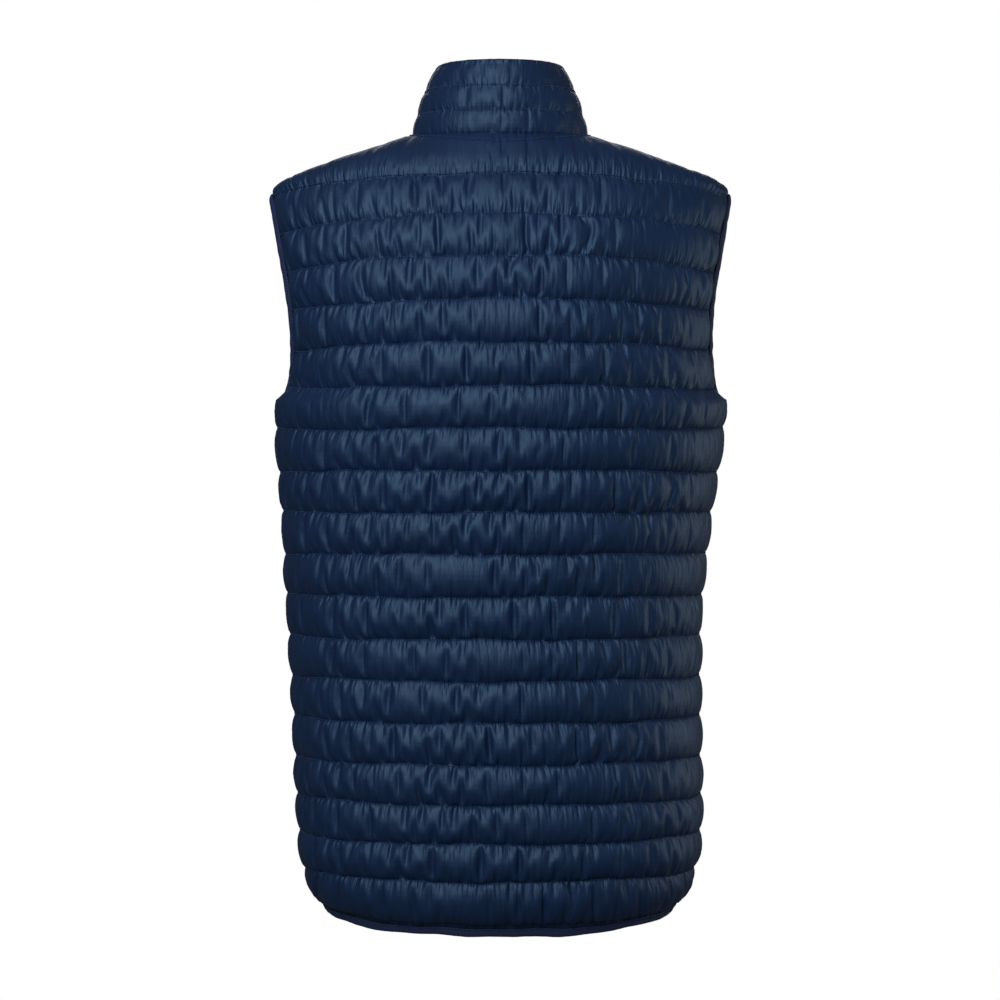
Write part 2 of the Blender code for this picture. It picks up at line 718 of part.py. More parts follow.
def zip_frame(point, normal, tangent):
    """Local axes on the zip: X across it, Y out of the cloth, Z up along it."""
    z = Vector(tangent).normalized()
    y = Vector(normal)
    y = (y - y.dot(z) * z).normalized()
    x = y.cross(z)
    frame = Matrix((x, y, z)).transposed().to_4x4()
    frame.translation = Vector(point)
    return frame


def build_slider(frame, material):
    """Slider body: plates before and behind the tapes, a post between and a bridge that holds the pull."""
    front_low = CHAIN_THICKNESS + SEAM_GAP
    front_high = front_low + SLIDER_PLATE
    back_high = -(TAPE_GAP + TAPE_THICKNESS + SEAM_GAP)
    back_low = back_high - SLIDER_PLATE
    sunk = SLIDER_PLATE / 3
    top = front_high + BRIDGE_CLEAR + BRIDGE_BEAM
    wide, bridge = SLIDER_HALF_WIDTH, BRIDGE_HALF_WIDTH
    long, leg = BRIDGE_HALF_LENGTH, BRIDGE_HALF_LENGTH - BRIDGE_BEAM
    boxes = [
        ((-wide, front_low, -SLIDER_HALF_LENGTH), (wide, front_high, SLIDER_HALF_LENGTH)),
        ((-wide, back_low, -SLIDER_HALF_LENGTH), (wide, back_high, SLIDER_HALF_LENGTH)),
        ((-POST_HALF_WIDTH, back_high - sunk, POST_LOW), (POST_HALF_WIDTH, front_low + sunk, POST_HIGH)),
        ((-bridge, front_high - sunk, -long), (bridge, top, -leg)),
        ((-bridge, front_high - sunk, leg), (bridge, top, long)),
        ((-bridge, top - BRIDGE_BEAM, -long), (bridge, top, long)),
    ]
    return fused("zip_slider", boxes, frame, material)


def build_pull(frame, material):
    """Pull tab hung on a round bar under the slider's bridge. Its origin is on the bar's axis."""
    wide, inside, thick = PULL_HALF_WIDTH, PULL_WINDOW_HALF, PULL_HALF_THICKNESS
    rim = wide - inside
    arm_wide, arm_thick = wide - PULL_STEP, thick - PULL_STEP
    boxes = [
        ((-wide, -thick, -PULL_LENGTH), (wide, thick, -PULL_WINDOW_LENGTH)),
        ((-arm_wide, -arm_thick, -PULL_WINDOW_LENGTH - rim), (-inside, arm_thick, PULL_ARM_TOP)),
        ((inside, -arm_thick, -PULL_WINDOW_LENGTH - rim), (arm_wide, arm_thick, PULL_ARM_TOP)),
    ]
    whole = fused("zip_pull", boxes, frame, material)
    round_bar = bmesh.new()
    bmesh.ops.create_cone(
        round_bar, cap_ends=True, segments=12, radius1=BAR_RADIUS, radius2=BAR_RADIUS, depth=2 * wide - rim)
    bmesh.ops.rotate(round_bar, verts=round_bar.verts, matrix=Matrix.Rotation(math.pi / 2, 3, "Y"))
    mesh = bpy.data.meshes.new("zip_pull_bar")
    round_bar.to_mesh(mesh)
    round_bar.free()
    bar = bpy.data.objects.new("zip_pull_bar", mesh)
    bpy.context.collection.objects.link(bar)
    unite(whole, bar, frame)
    return whole


def main():
    for obj in list(bpy.data.objects):
        bpy.data.objects.remove(obj)
    shell = material("navy quilted nylon", NAVY_SHELL, 0.42)
    elastic = material("navy elastic binding", NAVY_ELASTIC, 0.75)
    tape_cloth = material("navy woven zip tape", NAVY_TAPE, 0.8)
    resin = material("navy resin zip teeth", ZIP_RESIN, 0.45)
    painted = material("navy painted zip metal", PAINTED_METAL, 0.35, 0.6)

    back, back_profile, back_kept, underarm = back_half()
    front, front_profile, front_kept, _, neck_row = front_half()
    collar, collar_profile, collar_kept = collar_half(back, front, neck_row)
    back_normals = grid_normals(back, outward_hint(back))
    front_normals = grid_normals(front, outward_hint(front))
    collar_middle = np.array([0.0, (COLLAR_TOP_BACK_Y + COLLAR_TOP_FRONT_Y) / 2, 0.0])
    collar_normals = grid_normals(collar, collar - collar_middle)
    set_seam_normals(back_normals, front_normals, collar_normals, neck_row, underarm)

    back_fill = edge_weights(*back.shape[:2], underarm, False) * back_profile[:, None]
    front_fill = edge_weights(*front.shape[:2], underarm, True) * front_profile[:, None]
    collar_fill = np.ones(collar.shape[:2]) * collar_profile[:, None]
    collar_fill[:, -1] = 0.0
    back_wall, front_wall = (edge_walls(*grid.shape[:2], underarm) for grid in (back, front))
    back_out = back + (back_wall + BODY_PUFF * back_fill)[..., None] * back_normals
    front_out = front + (front_wall + BODY_PUFF * front_fill)[..., None] * front_normals
    collar_out = collar + (WALL + COLLAR_PUFF * collar_fill)[..., None] * collar_normals
    for points in (back, back_out, front, front_out):
        pull_in(points, row=points.shape[0] - 1)
        pull_in(points[: underarm + 1], column=points.shape[1] - 1)
    for points in (front, front_out):
        pull_in(points[neck_row:], column=0)
    for points in (collar, collar_out):
        pull_in(points, row=0)

    wall_mesh("back", mirrored(back), mirrored(back_out), back_kept, shell)
    for part, rows in front_parts(front_kept):
        inner, outer = divided(front, rows), divided(front_out, rows)
        wall_mesh(f"front_left_{part}", inner, outer, front_kept[rows], shell)
        wall_mesh(f"front_right_{part}", inner * TO_THE_RIGHT, outer * TO_THE_RIGHT, front_kept[rows], shell)
    wall_mesh("collar", mirrored(collar), mirrored(collar_out), collar_kept, shell)

    loop = [underarm_section(back, back_out, underarm)]
    loop += armhole_sections(back, back_out, underarm)
    loop += armhole_sections(front, front_out, underarm)[-2::-1]
    swept("armhole_binding_left", loop, True, elastic)
    swept("armhole_binding_right", flipped(loop), True, elastic)

    half_hem = [
        binding_section(front[0, i], front[1, i], front_out[0, i], front_out[1, i])
        for i in range(front.shape[1])
    ]
    half_hem += [
        binding_section(back[0, i], back[1, i], back_out[0, i], back_out[1, i])
        for i in range(back.shape[1] - 2, -1, -1)
    ]
    swept("hem_binding", half_hem + flipped(half_hem)[-2::-1], False, elastic)

    path = zip_path(front, front_normals, collar, collar_normals, neck_row)
    run = np.concatenate([[0.0], np.cumsum(np.linalg.norm(np.diff(path[0], axis=0), axis=1))])
    neck_run = run[neck_row - ZIP_FIRST_ROW]
    slider_at = run[-1] - SLIDER_BELOW_TOP
    chain_end = slider_at - CHAIN_END_GAP
    body_run = np.linspace(0.0, neck_run, ZIP_BODY_STATIONS)
    collar_run = np.linspace(neck_run, chain_end, ZIP_COLLAR_STATIONS)[1:]
    tape_run = np.concatenate([body_run, collar_run, [slider_at + POST_LOW / 2, run[-1] - TAPE_END_GAP]])
    tape = tape_sections(path, run, tape_run, chain_end)
    swept("zip_tape_left", tape, False, tape_cloth)
    swept("zip_tape_right", flipped(tape), False, tape_cloth)
    chain_run = np.concatenate([[ZIP_BOX_LENGTH + SEAM_GAP], body_run[1:], collar_run])
    swept("zip_chain", chain_sections(path, run, chain_run), False, resin)

    def frame_at(distance):
        low, high = (middle_of(at_run(path[0], run, distance + step)) for step in (0.0, SLIDER_HALF_LENGTH))
        return zip_frame(low, middle_of(at_run(path[2], run, distance)), high - low)

    build_slider(frame_at(slider_at), painted)
    bar_height = CHAIN_THICKNESS + SEAM_GAP + SLIDER_PLATE + BRIDGE_CLEAR / 2
    build_pull(frame_at(slider_at) @ Matrix.Translation((0.0, bar_height, 0.0)), painted)
    foot = ((-ZIP_BOX_HALF_WIDTH, 0.0, 0.0), (ZIP_BOX_HALF_WIDTH, ZIP_BOX_THICKNESS, ZIP_BOX_LENGTH))
    fused("zip_box", [foot], frame_at(0.0), resin)


main()
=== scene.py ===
"""Dresses the solids of a quilted stand-collar vest: gathered cloth, stitching, elastic bindings and a zip.

Metres, +Z up. The wearer faces -Y, so the wearer's left is +X.
"""
import json
import math

import bmesh
import bpy
import numpy as np
from mathutils import Matrix, Vector


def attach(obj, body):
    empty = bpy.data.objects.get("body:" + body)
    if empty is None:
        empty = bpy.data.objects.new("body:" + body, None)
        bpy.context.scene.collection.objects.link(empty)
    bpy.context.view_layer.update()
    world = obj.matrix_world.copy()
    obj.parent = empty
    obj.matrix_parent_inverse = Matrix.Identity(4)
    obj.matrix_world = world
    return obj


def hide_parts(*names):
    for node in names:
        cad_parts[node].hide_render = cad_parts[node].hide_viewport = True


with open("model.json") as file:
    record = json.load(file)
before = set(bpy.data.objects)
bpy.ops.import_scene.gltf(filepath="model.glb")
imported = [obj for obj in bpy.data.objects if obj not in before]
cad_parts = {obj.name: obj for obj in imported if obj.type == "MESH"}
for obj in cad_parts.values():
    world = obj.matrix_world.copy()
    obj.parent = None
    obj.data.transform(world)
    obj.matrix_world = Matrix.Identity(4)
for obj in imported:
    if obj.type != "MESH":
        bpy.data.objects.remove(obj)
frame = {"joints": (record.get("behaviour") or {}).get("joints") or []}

bl_info = {
    "name": "Quilted vest",
    "version": (1, 0, 0),
    "blender": (4, 5, 0),
    "location": "View3D > Sidebar > Vest",
    "description": "Dresses the solids of a quilted vest with gathered cloth, stitching, bindings and a zip",
    "category": "Object",
}

BODY = "vest"
PULL_BODY = "pull"
FRONT_PARTS = ("hem", "waist", "chest", "shoulder")

# Quilting, as in the solids
QUILT_PITCH = 0.0356
QUILT_LINES = 18
FIRST_QUILT_Z = -0.0443
WALL = 0.0024
EDGE_WALL = 0.0014
TOP_CROWN = 0.3
TOP_FADE = 0.35
SEAM_GAP = 0.0003
SEAM_LAP = 0.0005
TOUCH = 1e-6
EDGE_STRIP = 0.0075
BINDING_GAP = 0.0009

# Body rings at the quilting lines: half width, and depth behind and before the middle plane
RING_POWER = 2.15
RING_POINTS = 400
RINGS = [
    # level, half_width, back_depth, front_depth
    (-0.700, 0.1410, 0.0980, 0.1110),
    (-0.685, 0.1520, 0.1050, 0.1170),
    (-0.665, 0.1640, 0.1115, 0.1230),
    (-0.640, 0.1715, 0.1150, 0.1265),
    (-0.600, 0.1745, 0.1170, 0.1285),
    (-0.520, 0.1760, 0.1185, 0.1310),
    (-0.430, 0.1785, 0.1205, 0.1340),
    (-0.330, 0.1860, 0.1265, 0.1370),
    (-0.239, 0.1955, 0.1310, 0.1365),
    (-0.160, 0.1900, 0.1310, 0.1235),
    (-0.115, 0.1900, 0.1255, 0.1050),
    (-0.080, 0.1920, 0.1150, 0.0840),
    (-0.044, 0.1950, 0.0950, 0.0600),
]
SHOULDER_DROOP = 0.0145
DROOP_START_Z = -0.330
DROOP_POWER = 1.6
HEM_EDGE = {"back": (-0.6970, -0.0130), "front": (-0.6770, 0.0070)}
SHOULDER_RISE = 0.12
NECK_RISE = 0.75
TANGENT_STEP = 0.004
LEAST_CROSSING = 0.6
ARMHOLE_PULL = 4
NECK_PULL = 2

# Armhole edge, neck seam and collar
UNDERARM = (0.1955, -0.2390)
SHOULDER_TIP = (0.2030, -0.0540)
ARMHOLE_PINCH = 0.0155
ARMHOLE_PINCH_LOW = 0.65
ARMHOLE_DEPTH = {"back": 0.046, "front": 0.055}
ARMHOLE_ROUNDNESS = 0.55
NECK_HALF = 0.0755
NECK_SIDE_Y = 0.004
NECK_SIDE_Z = -0.004
NECK_BACK = (0.068, -0.007)
NECK_FRONT_Y = -0.084
NECK_FRONT_RISE = 1.2
COLLAR_BAFFLES = 3
COLLAR_TOP_HALF = 0.0555
COLLAR_TOP_BACK_Y = 0.0560
COLLAR_TOP_FRONT_Y = -0.0865
COLLAR_TOP_Z = {"back": 0.0580, "side": 0.0605, "front": -0.0080}
COLLAR_BOW = 0.0035
COLLAR_TOP_EDGE_FILL = 0.35
BACK_NECK_SHARE = 0.455

# Zip, as in the solids
ZIP_HALF_GAP = 0.0070
TAPE_UNDERLAP = 0.0040
TAPE_THICKNESS = 0.0010
TAPE_GAP = 0.0006
CHAIN_HALF_WIDTH = 0.0026
CHAIN_THICKNESS = 0.0020
TAPE_END_GAP = 0.0015
TAPE_MIDDLE_GAP = 0.0004
TAPE_POST_GAP = 0.0019
ZIP_FIRST_SHARE = 0.5
ZIP_BOX_LENGTH = 0.008
ZIP_BOX_HALF_WIDTH = 0.0036
ZIP_BOX_THICKNESS = 0.0026
SLIDER_BELOW_TOP = 0.012
SLIDER_HALF_WIDTH = 0.0044
SLIDER_HALF_LENGTH = 0.0060
SLIDER_PLATE = 0.0013
POST_HALF_WIDTH = 0.0012
POST_LOW = 0.0030
POST_HIGH = 0.0056
BRIDGE_HALF_WIDTH = 0.0011
BRIDGE_HALF_LENGTH = 0.0034
BRIDGE_BEAM = 0.0011
BRIDGE_CLEAR = 0.0016
BAR_RADIUS = 0.0005
PULL_HALF_WIDTH = 0.0029
PULL_HALF_THICKNESS = 0.0007
PULL_ARM_TOP = 0.00035
PULL_WINDOW_HALF = 0.0016
PULL_WINDOW_LENGTH = 0.0052
PULL_LENGTH = 0.027

# Fineness of the dressed cloth
BAFFLE_SHARES = (0.0, 0.032, 0.08, 0.155, 0.255, 0.375, 0.5, 0.625, 0.745, 0.845, 0.92, 0.968)
TOP_SHARES = (0.045, 0.1, 0.17, 0.25, 0.35, 0.46, 0.58, 0.7, 0.8, 0.87, 0.92, 0.965, 1.0)
COLLAR_SHARES = (0.0, 0.07, 0.18, 0.33, 0.5, 0.67, 0.82, 0.93)
BACK_COLUMNS = 185
FRONT_COLUMNS = 180
STRIP_COLUMNS = 4
HEM_ROWS = 3
INNER_SHARES = (0.0, 0.255, 0.745)
INNER_COLUMN_STEP = 6
UNDERARM_CLEAR = 0.0022
UNDERARM_EASE = 0.06
UNDERARM_EASE_POWER = 8
RIM_ROWS = 3
CLOTH_SHARP_ANGLE = math.radians(70)
HARD_SHARP_ANGLE = math.radians(40)

# Where the fill begins beside an edge, and how far it takes to reach its full height
SEAM_RISE = 0.015
ARMHOLE_RISE = 0.013
ZIP_EDGE_RISE = 0.012
WALL_RISE = 0.009
SEAM_WALL = 0.0045
SEAM_WALL_RISE = 0.014
CROWN_POWER = 2.0
SEAM_NOTCH = 0.36
SEAM_NOTCH_SHARE = 0.05
TUCK_REACH = 0.006
SIDE_PUFF = 0.42
INNER_PUFF = 0.0011

TO_THE_RIGHT = np.array([-1.0, 1.0, 1.0])


def linear(hex_colour):
    """Linear colour from an sRGB hex value."""
    parts = [int(hex_colour[k : k + 2], 16) / 255 for k in (0, 2, 4)]
    return tuple(p / 12.92 if p <= 0.04045 else ((p + 0.055) / 1.055) ** 2.4 for p in parts)


class VestSizes(bpy.types.PropertyGroup):
    """Sizes of the dressed cloth."""

    body_puff: bpy.props.FloatProperty(
        name="Body puff", description="How far a filled body channel stands out of its seams",
        default=0.0056, unit="LENGTH")
    folds: bpy.props.FloatProperty(
        name="Folds", description="Height of the gathers on the body, over that of the simulated cloth",
        default=1.2, subtype="FACTOR")
    collar_puff: bpy.props.FloatProperty(
        name="Collar puff", description="How far a filled collar channel stands out of its seams",
        default=0.0034, unit="LENGTH")
    gather: bpy.props.FloatProperty(
        name="Gather", description="Extra cloth drawn up along a quilting line, as a share of its length",
        default=0.095, subtype="FACTOR")
    stitch_pitch: bpy.props.FloatProperty(
        name="Stitch pitch", description="Length of one machine stitch", default=0.0027, unit="LENGTH")
    thread_width: bpy.props.FloatProperty(
        name="Thread width", description="Width of the sewing thread", default=0.0011, unit="LENGTH")
    binding_cloth: bpy.props.FloatProperty(
        name="Binding cloth", description="Thickness of the folded elastic", default=0.0010, unit="LENGTH")
    tooth_pitch: bpy.props.FloatProperty(
        name="Tooth pitch", description="Distance between teeth on one tape", default=0.0030, unit="LENGTH")


class VestColours(bpy.types.PropertyGroup):
    """Colours of the vest and the stage."""

    shell: bpy.props.FloatVectorProperty(
        name="Shell", description="Quilted nylon", subtype="COLOR", default=linear("102446"))
    binding: bpy.props.FloatVectorProperty(
        name="Binding", description="Folded elastic", subtype="COLOR", default=linear("16264A"))
    # Set a shade lighter than the shell as a painted highlight, so that the stitches read as light dots
    thread: bpy.props.FloatVectorProperty(
        name="Thread", description="Sewing thread", subtype="COLOR", default=linear("233B64"))
    tape: bpy.props.FloatVectorProperty(
        name="Zip tape", description="Woven zip tape", subtype="COLOR", default=linear("18294A"))
    teeth: bpy.props.FloatVectorProperty(
        name="Zip teeth", description="Moulded zip teeth", subtype="COLOR", default=linear("1A2A48"))
    metal: bpy.props.FloatVectorProperty(
        name="Zip metal", description="Painted slider and pull", subtype="COLOR", default=linear("1C2C4A"))
    floor: bpy.props.FloatVectorProperty(
        name="Floor", description="Studio floor", subtype="COLOR", default=linear("F2F2F2"))


# Curves and rings that the solids are cut to


def unit(vectors):
    vectors = np.asarray(vectors, float)
    return vectors / np.linalg.norm(vectors, axis=-1, keepdims=True)


def smoothstep(low, high, value):
    t = np.clip((value - low) / (high - low), 0.0, 1.0)
    return t * t * (3 - 2 * t)


def rise(distance, reach):
    """Quarter wave from 0 at the edge to 1 at a distance."""
    return np.sin(np.pi / 2 * np.clip(distance / reach, 0.0, 1.0))


def smooth_lookup(table, column, level):
    """A column of a table at a level, on a cubic through the rows."""
    levels = np.array([row[0] for row in table])
    values = np.array([row[column] for row in table])
    slopes = np.gradient(values, levels)
    k = int(np.clip(np.searchsorted(levels, level) - 1, 0, len(levels) - 2))
    span = levels[k + 1] - levels[k]
    share = (level - levels[k]) / span
    return float(hermite(values[k], values[k + 1], span * slopes[k], span * slopes[k + 1], share))


def hermite(start, end, leave, arrive, t):
    return (
        (2 * t**3 - 3 * t**2 + 1) * start
        + (t**3 - 2 * t**2 + t) * leave
        + (3 * t**2 - 2 * t**3) * end
        + (t**3 - t**2) * arrive
    )


def quilt_level(line):
    return FIRST_QUILT_Z - QUILT_PITCH * line


def droop(level):
    """How far a quilting line has sunk where it reaches the armhole."""
    reach = (level - DROOP_START_Z) / (FIRST_QUILT_Z - DROOP_START_Z)
    return SHOULDER_DROOP * max(0.0, reach) ** DROOP_POWER


def hem_share(level):
    """How far a level is down the lowest baffle, from its quilting line to the hem binding's stitches."""
    high, low = quilt_level(QUILT_LINES - 1), HEM_EDGE["back"][0] + EDGE_STRIP
    return float(np.clip((high - level) / (high - low), 0.0, 1.0))


def armhole_edge(side, z):
    """Point of the left armhole's edge at a height, on the back or the front panel."""
    share = float(np.clip((z - UNDERARM[1]) / (SHOULDER_TIP[1] - UNDERARM[1]), 0.0, 1.0))
    wave = max(math.sin(math.pi * share), 0.0)
    pinch = ARMHOLE_PINCH * math.sin(math.pi * share**ARMHOLE_PINCH_LOW)
    x = UNDERARM[0] + (SHOULDER_TIP[0] - UNDERARM[0]) * share - pinch
    y = ARMHOLE_DEPTH[side] * wave**ARMHOLE_ROUNDNESS
    return np.array([x, y if side == "back" else -y, z])


def ring_curve(side, level, edge_z, first_x):
    """Fine points of a half ring at a level, from the middle to its edge, with heights left at zero."""
    depth = smooth_lookup(RINGS, 2 if side == "back" else 3, level)
    if edge_z > UNDERARM[1]:
        edge = armhole_edge(side, edge_z)
        end = math.acos(min(1.0, (abs(edge[1]) / depth) ** (RING_POWER / 2)))
        half_width = edge[0] / math.sin(end) ** (2 / RING_POWER)
    else:
        end = math.pi / 2
        half_width = smooth_lookup(RINGS, 1, edge_z)
    begin = math.asin((first_x / half_width) ** (RING_POWER / 2)) if first_x else 0.0
    angles = np.linspace(begin, end, RING_POINTS)
    x = half_width * np.sin(angles) ** (2 / RING_POWER)
    y = depth * np.clip(np.cos(angles), 0, 1) ** (2 / RING_POWER)
    return np.stack([x, y if side == "back" else -y, np.zeros_like(x)], axis=1)


def run_of(points):
    """Distance along a polyline at each of its points."""
    return np.concatenate([[0.0], np.cumsum(np.linalg.norm(np.diff(points, axis=0), axis=1))])


def read_along(points, run, distances):
    """Points of a polyline at these distances from its start."""
    return np.stack([np.interp(distances, run, points[:, k]) for k in range(points.shape[1])], axis=1)


def column_shares(columns):
    """Shares of the way to the edge strip, then shares of the strip itself."""
    return np.linspace(0.0, 1.0, columns + 1), np.linspace(0.0, 1.0, STRIP_COLUMNS + 1)[1:]


def ring_lengths(side, level, edge_z, first_x):
    """A half ring's fine points, the distance along it and the length of its edge strip."""
    curve = ring_curve(side, level, edge_z, first_x)
    strip = EDGE_STRIP
    if edge_z > UNDERARM[1]:
        ahead, behind = (armhole_edge(side, edge_z + TANGENT_STEP * share) for share in (1.0, 0.125))
        across = np.linalg.norm(np.cross(unit(ahead - behind), unit(curve[-1] - curve[-2])))
        strip = EDGE_STRIP / max(across, LEAST_CROSSING)
    return curve, run_of(curve), strip


def ring_row(side, level, sink, shares, strips, first_x):
    """One row of a panel, from the middle across the edge strip to the edge.

    Above the underarm the edge draws back fast, so there only the outer columns follow it.
    """
    edge_z = level - sink
    curve, run, strip = ring_lengths(side, level, edge_z, first_x)
    full = even = run[-1] - strip
    climbed = (edge_z - UNDERARM[1]) / UNDERARM_EASE
    if 0.0 < climbed < 1.0:
        ends = []
        for z in (UNDERARM[1], UNDERARM[1] + UNDERARM_EASE):
            _, other_run, other_strip = ring_lengths(side, z + sink, z, first_x)
            ends.append(other_run[-1] - other_strip)
        even = ends[0] + (ends[1] - ends[0]) * climbed
    main = shares * even + shares**UNDERARM_EASE_POWER * (full - even)
    distances = np.concatenate([main, run[-1] - strip * (1 - strips)])
    row = read_along(curve, run, distances)
    row[:, 2] = level - sink * (distances / run[-1]) ** 2
    return row


def neck_back(share):
    """Back neck seam, from the centre back to the shoulder seam."""
    angle = share * math.pi / 2
    y = NECK_SIDE_Y + (NECK_BACK[0] - NECK_SIDE_Y) * math.cos(angle)
    z = NECK_SIDE_Z + (NECK_BACK[1] - NECK_SIDE_Z) * math.cos(angle) ** 2
    return np.array([NECK_HALF * math.sin(angle), y, z])


def neck_front(share):
    """Front neck seam, from the zip to the shoulder seam."""
    low = quilt_level(1)
    angle = (1 - (1 - share) ** (1 / NECK_FRONT_RISE)) * math.pi / 2
    x = ZIP_HALF_GAP + (NECK_HALF - ZIP_HALF_GAP) * math.sin(angle)
    y = NECK_SIDE_Y + (NECK_FRONT_Y - NECK_SIDE_Y) * math.cos(angle)
    return np.array([x, y, low + (NECK_SIDE_Z - low) * share])


def shoulder_seam(share):
    """Straight shoulder seam from the neck to the shoulder tip."""
    neck = np.array([NECK_HALF, NECK_SIDE_Y, NECK_SIDE_Z])
    tip = np.array([SHOULDER_TIP[0], 0.0, SHOULDER_TIP[1]])
    return neck + (tip - neck) * share


def shoulder_normal():
    seam = shoulder_seam(1.0) - shoulder_seam(0.0)
    return unit(np.array([-seam[2], 0.0, seam[0]]))


def underarm_level():
    """Level of the row whose edge is the underarm point."""
    level = UNDERARM[1]
    for _ in range(12):
        level = UNDERARM[1] + droop(level)
    return level


def body_rows(top_line):
    """Level, baffle and share of each row, from the hem's stitches up to a quilting line."""
    stitches = HEM_EDGE["back"][0] + EDGE_STRIP
    lines = [stitches] + [quilt_level(k) for k in range(QUILT_LINES - 1, top_line - 1, -1)]
    rows = []
    underarm = underarm_level()
    for baffle, (low, high) in enumerate(zip(lines, lines[1:])):
        levels = [low + share * (high - low) for share in BAFFLE_SHARES]
        if low < underarm < high:
            levels = [level for level in levels if abs(level - underarm) > UNDERARM_CLEAR] + [underarm]
        rows += [(level, baffle, (level - low) / (high - low)) for level in sorted(levels)]
    rows.append((lines[-1], len(lines) - 1, 0.0))
    return rows


def top_tangents(side, row, level, shares, strips, first_x, ends):
    """Tangents that carry a panel from its top ring up and over to the shoulder seam and neck."""
    lower = level - TANGENT_STEP
    below = ring_row(side, lower, droop(lower), shares, strips, first_x)
    reach = np.linalg.norm(ends - row, axis=1)[:, None]
    toward = -1.0 if side == "back" else 1.0
    across = np.concatenate([shares, np.ones(len(strips))])
    neck_part = np.clip(1.0 - across / BACK_NECK_SHARE, 0.0, 1.0)
    climb = SHOULDER_RISE + (NECK_RISE if side == "back" else 0.0) * neck_part
    arrive = np.stack([np.zeros(len(row)), np.full(len(row), toward), climb], axis=1)
    return unit(row - below) * reach, unit(arrive) * reach


def seam_shares(shares, strips):
    """Shares along the shoulder seam for the columns that reach it."""
    strip = EDGE_STRIP / np.linalg.norm(shoulder_seam(1.0) - shoulder_seam(0.0))
    return np.concatenate([shares * (1 - strip), 1 - strip * (1 - strips)])


def panel_rows(side, shares, strips, first_x, top_line):
    """Rows of a panel from its hem to its top quilting line, with their baffles and shares."""
    edge_z, edge_sink = HEM_EDGE[side]
    rows = body_rows(top_line)
    lift = edge_z - HEM_EDGE["back"][0]
    grid, baffles, places = [], [], []
    edge = ring_row(side, edge_z, edge_sink, shares, strips, first_x)
    stitches = ring_row(side, rows[0][0] + lift, edge_sink, shares, strips, first_x)
    for k in range(HEM_ROWS):
        grid.append(edge + (stitches - edge) * k / HEM_ROWS)
        baffles.append(0)
        places.append(0.0)
    for level, baffle, share in rows:
        sink = droop(level) + edge_sink * hem_share(level)
        grid.append(ring_row(side, level + lift * hem_share(level), sink, shares, strips, first_x))
        baffles.append(baffle)
        places.append(share)
    return grid, baffles, places


def back_half():
    """Grid of the back's left half: rows from hem to shoulder, columns from the centre to the armhole."""
    shares, strips = column_shares(BACK_COLUMNS)
    grid, baffles, places = panel_rows("back", shares, strips, 0.0, 0)
    neck_columns = round(BACK_COLUMNS * BACK_NECK_SHARE)
    beyond = (shares[neck_columns + 1 :] - BACK_NECK_SHARE) / (1 - BACK_NECK_SHARE)
    ends = [neck_back(k / neck_columns) for k in range(neck_columns + 1)]
    ends = np.array(ends + [shoulder_seam(u) for u in seam_shares(beyond, strips)])
    last = grid[-1]
    leave, arrive = top_tangents("back", last, quilt_level(0), shares, strips, 0.0, ends)
    weight = np.concatenate([shares, np.ones(len(strips))])[:, None] ** ARMHOLE_PULL
    for t in TOP_SHARES:
        row = hermite(last, ends, leave, arrive, t)
        edge = armhole_edge("back", last[-1, 2] + (SHOULDER_TIP[1] - last[-1, 2]) * t)
        grid.append(ends if t == 1.0 else row + weight * (edge - row[-1]))
        baffles.append(QUILT_LINES)
        places.append(t)
    return np.array(grid), np.array(baffles), np.array(places)


def front_half():
    """Grid of the left front: rows from hem to shoulder, columns from the zip and neck to the armhole."""
    shares, strips = column_shares(FRONT_COLUMNS)
    grid, baffles, places = panel_rows("front", shares, strips, ZIP_HALF_GAP, 1)
    ends = np.array([shoulder_seam(u) for u in seam_shares(shares, strips)])
    last = grid[-1]
    neck_row = len(grid) - 1
    leave, arrive = top_tangents("front", last, quilt_level(1), shares, strips, ZIP_HALF_GAP, ends)
    reach = np.concatenate([shares, np.ones(len(strips))])[:, None]
    for half in range(2):
        for step in BAFFLE_SHARES[1:] + (1.0,):
            t = (half + step) / 2
            row = hermite(last, ends, leave, arrive, t)
            outer = armhole_edge("front", last[-1, 2] + (SHOULDER_TIP[1] - last[-1, 2]) * t) - row[-1]
            inner = neck_front(t) - row[0]
            row = row + reach**ARMHOLE_PULL * outer + (1 - reach) ** NECK_PULL * inner
            grid.append(ends if t == 1.0 else row)
            baffles.append(QUILT_LINES - 1 + half)
            places.append(step)
    return np.array(grid), np.array(baffles), np.array(places), neck_row


def collar_top(share):
    """Top edge of the collar's left half, from the centre back to the zip."""
    angle = share * (math.pi - math.asin(ZIP_HALF_GAP / COLLAR_TOP_HALF))
    middle = (COLLAR_TOP_BACK_Y + COLLAR_TOP_FRONT_Y) / 2
    reach = (COLLAR_TOP_BACK_Y - COLLAR_TOP_FRONT_Y) / 2
    low = COLLAR_TOP_Z["back"] if angle < math.pi / 2 else COLLAR_TOP_Z["front"]
    z = low + (COLLAR_TOP_Z["side"] - low) * math.sin(angle) ** 2
    return np.array([COLLAR_TOP_HALF * math.sin(angle), middle + reach * math.cos(angle), z])


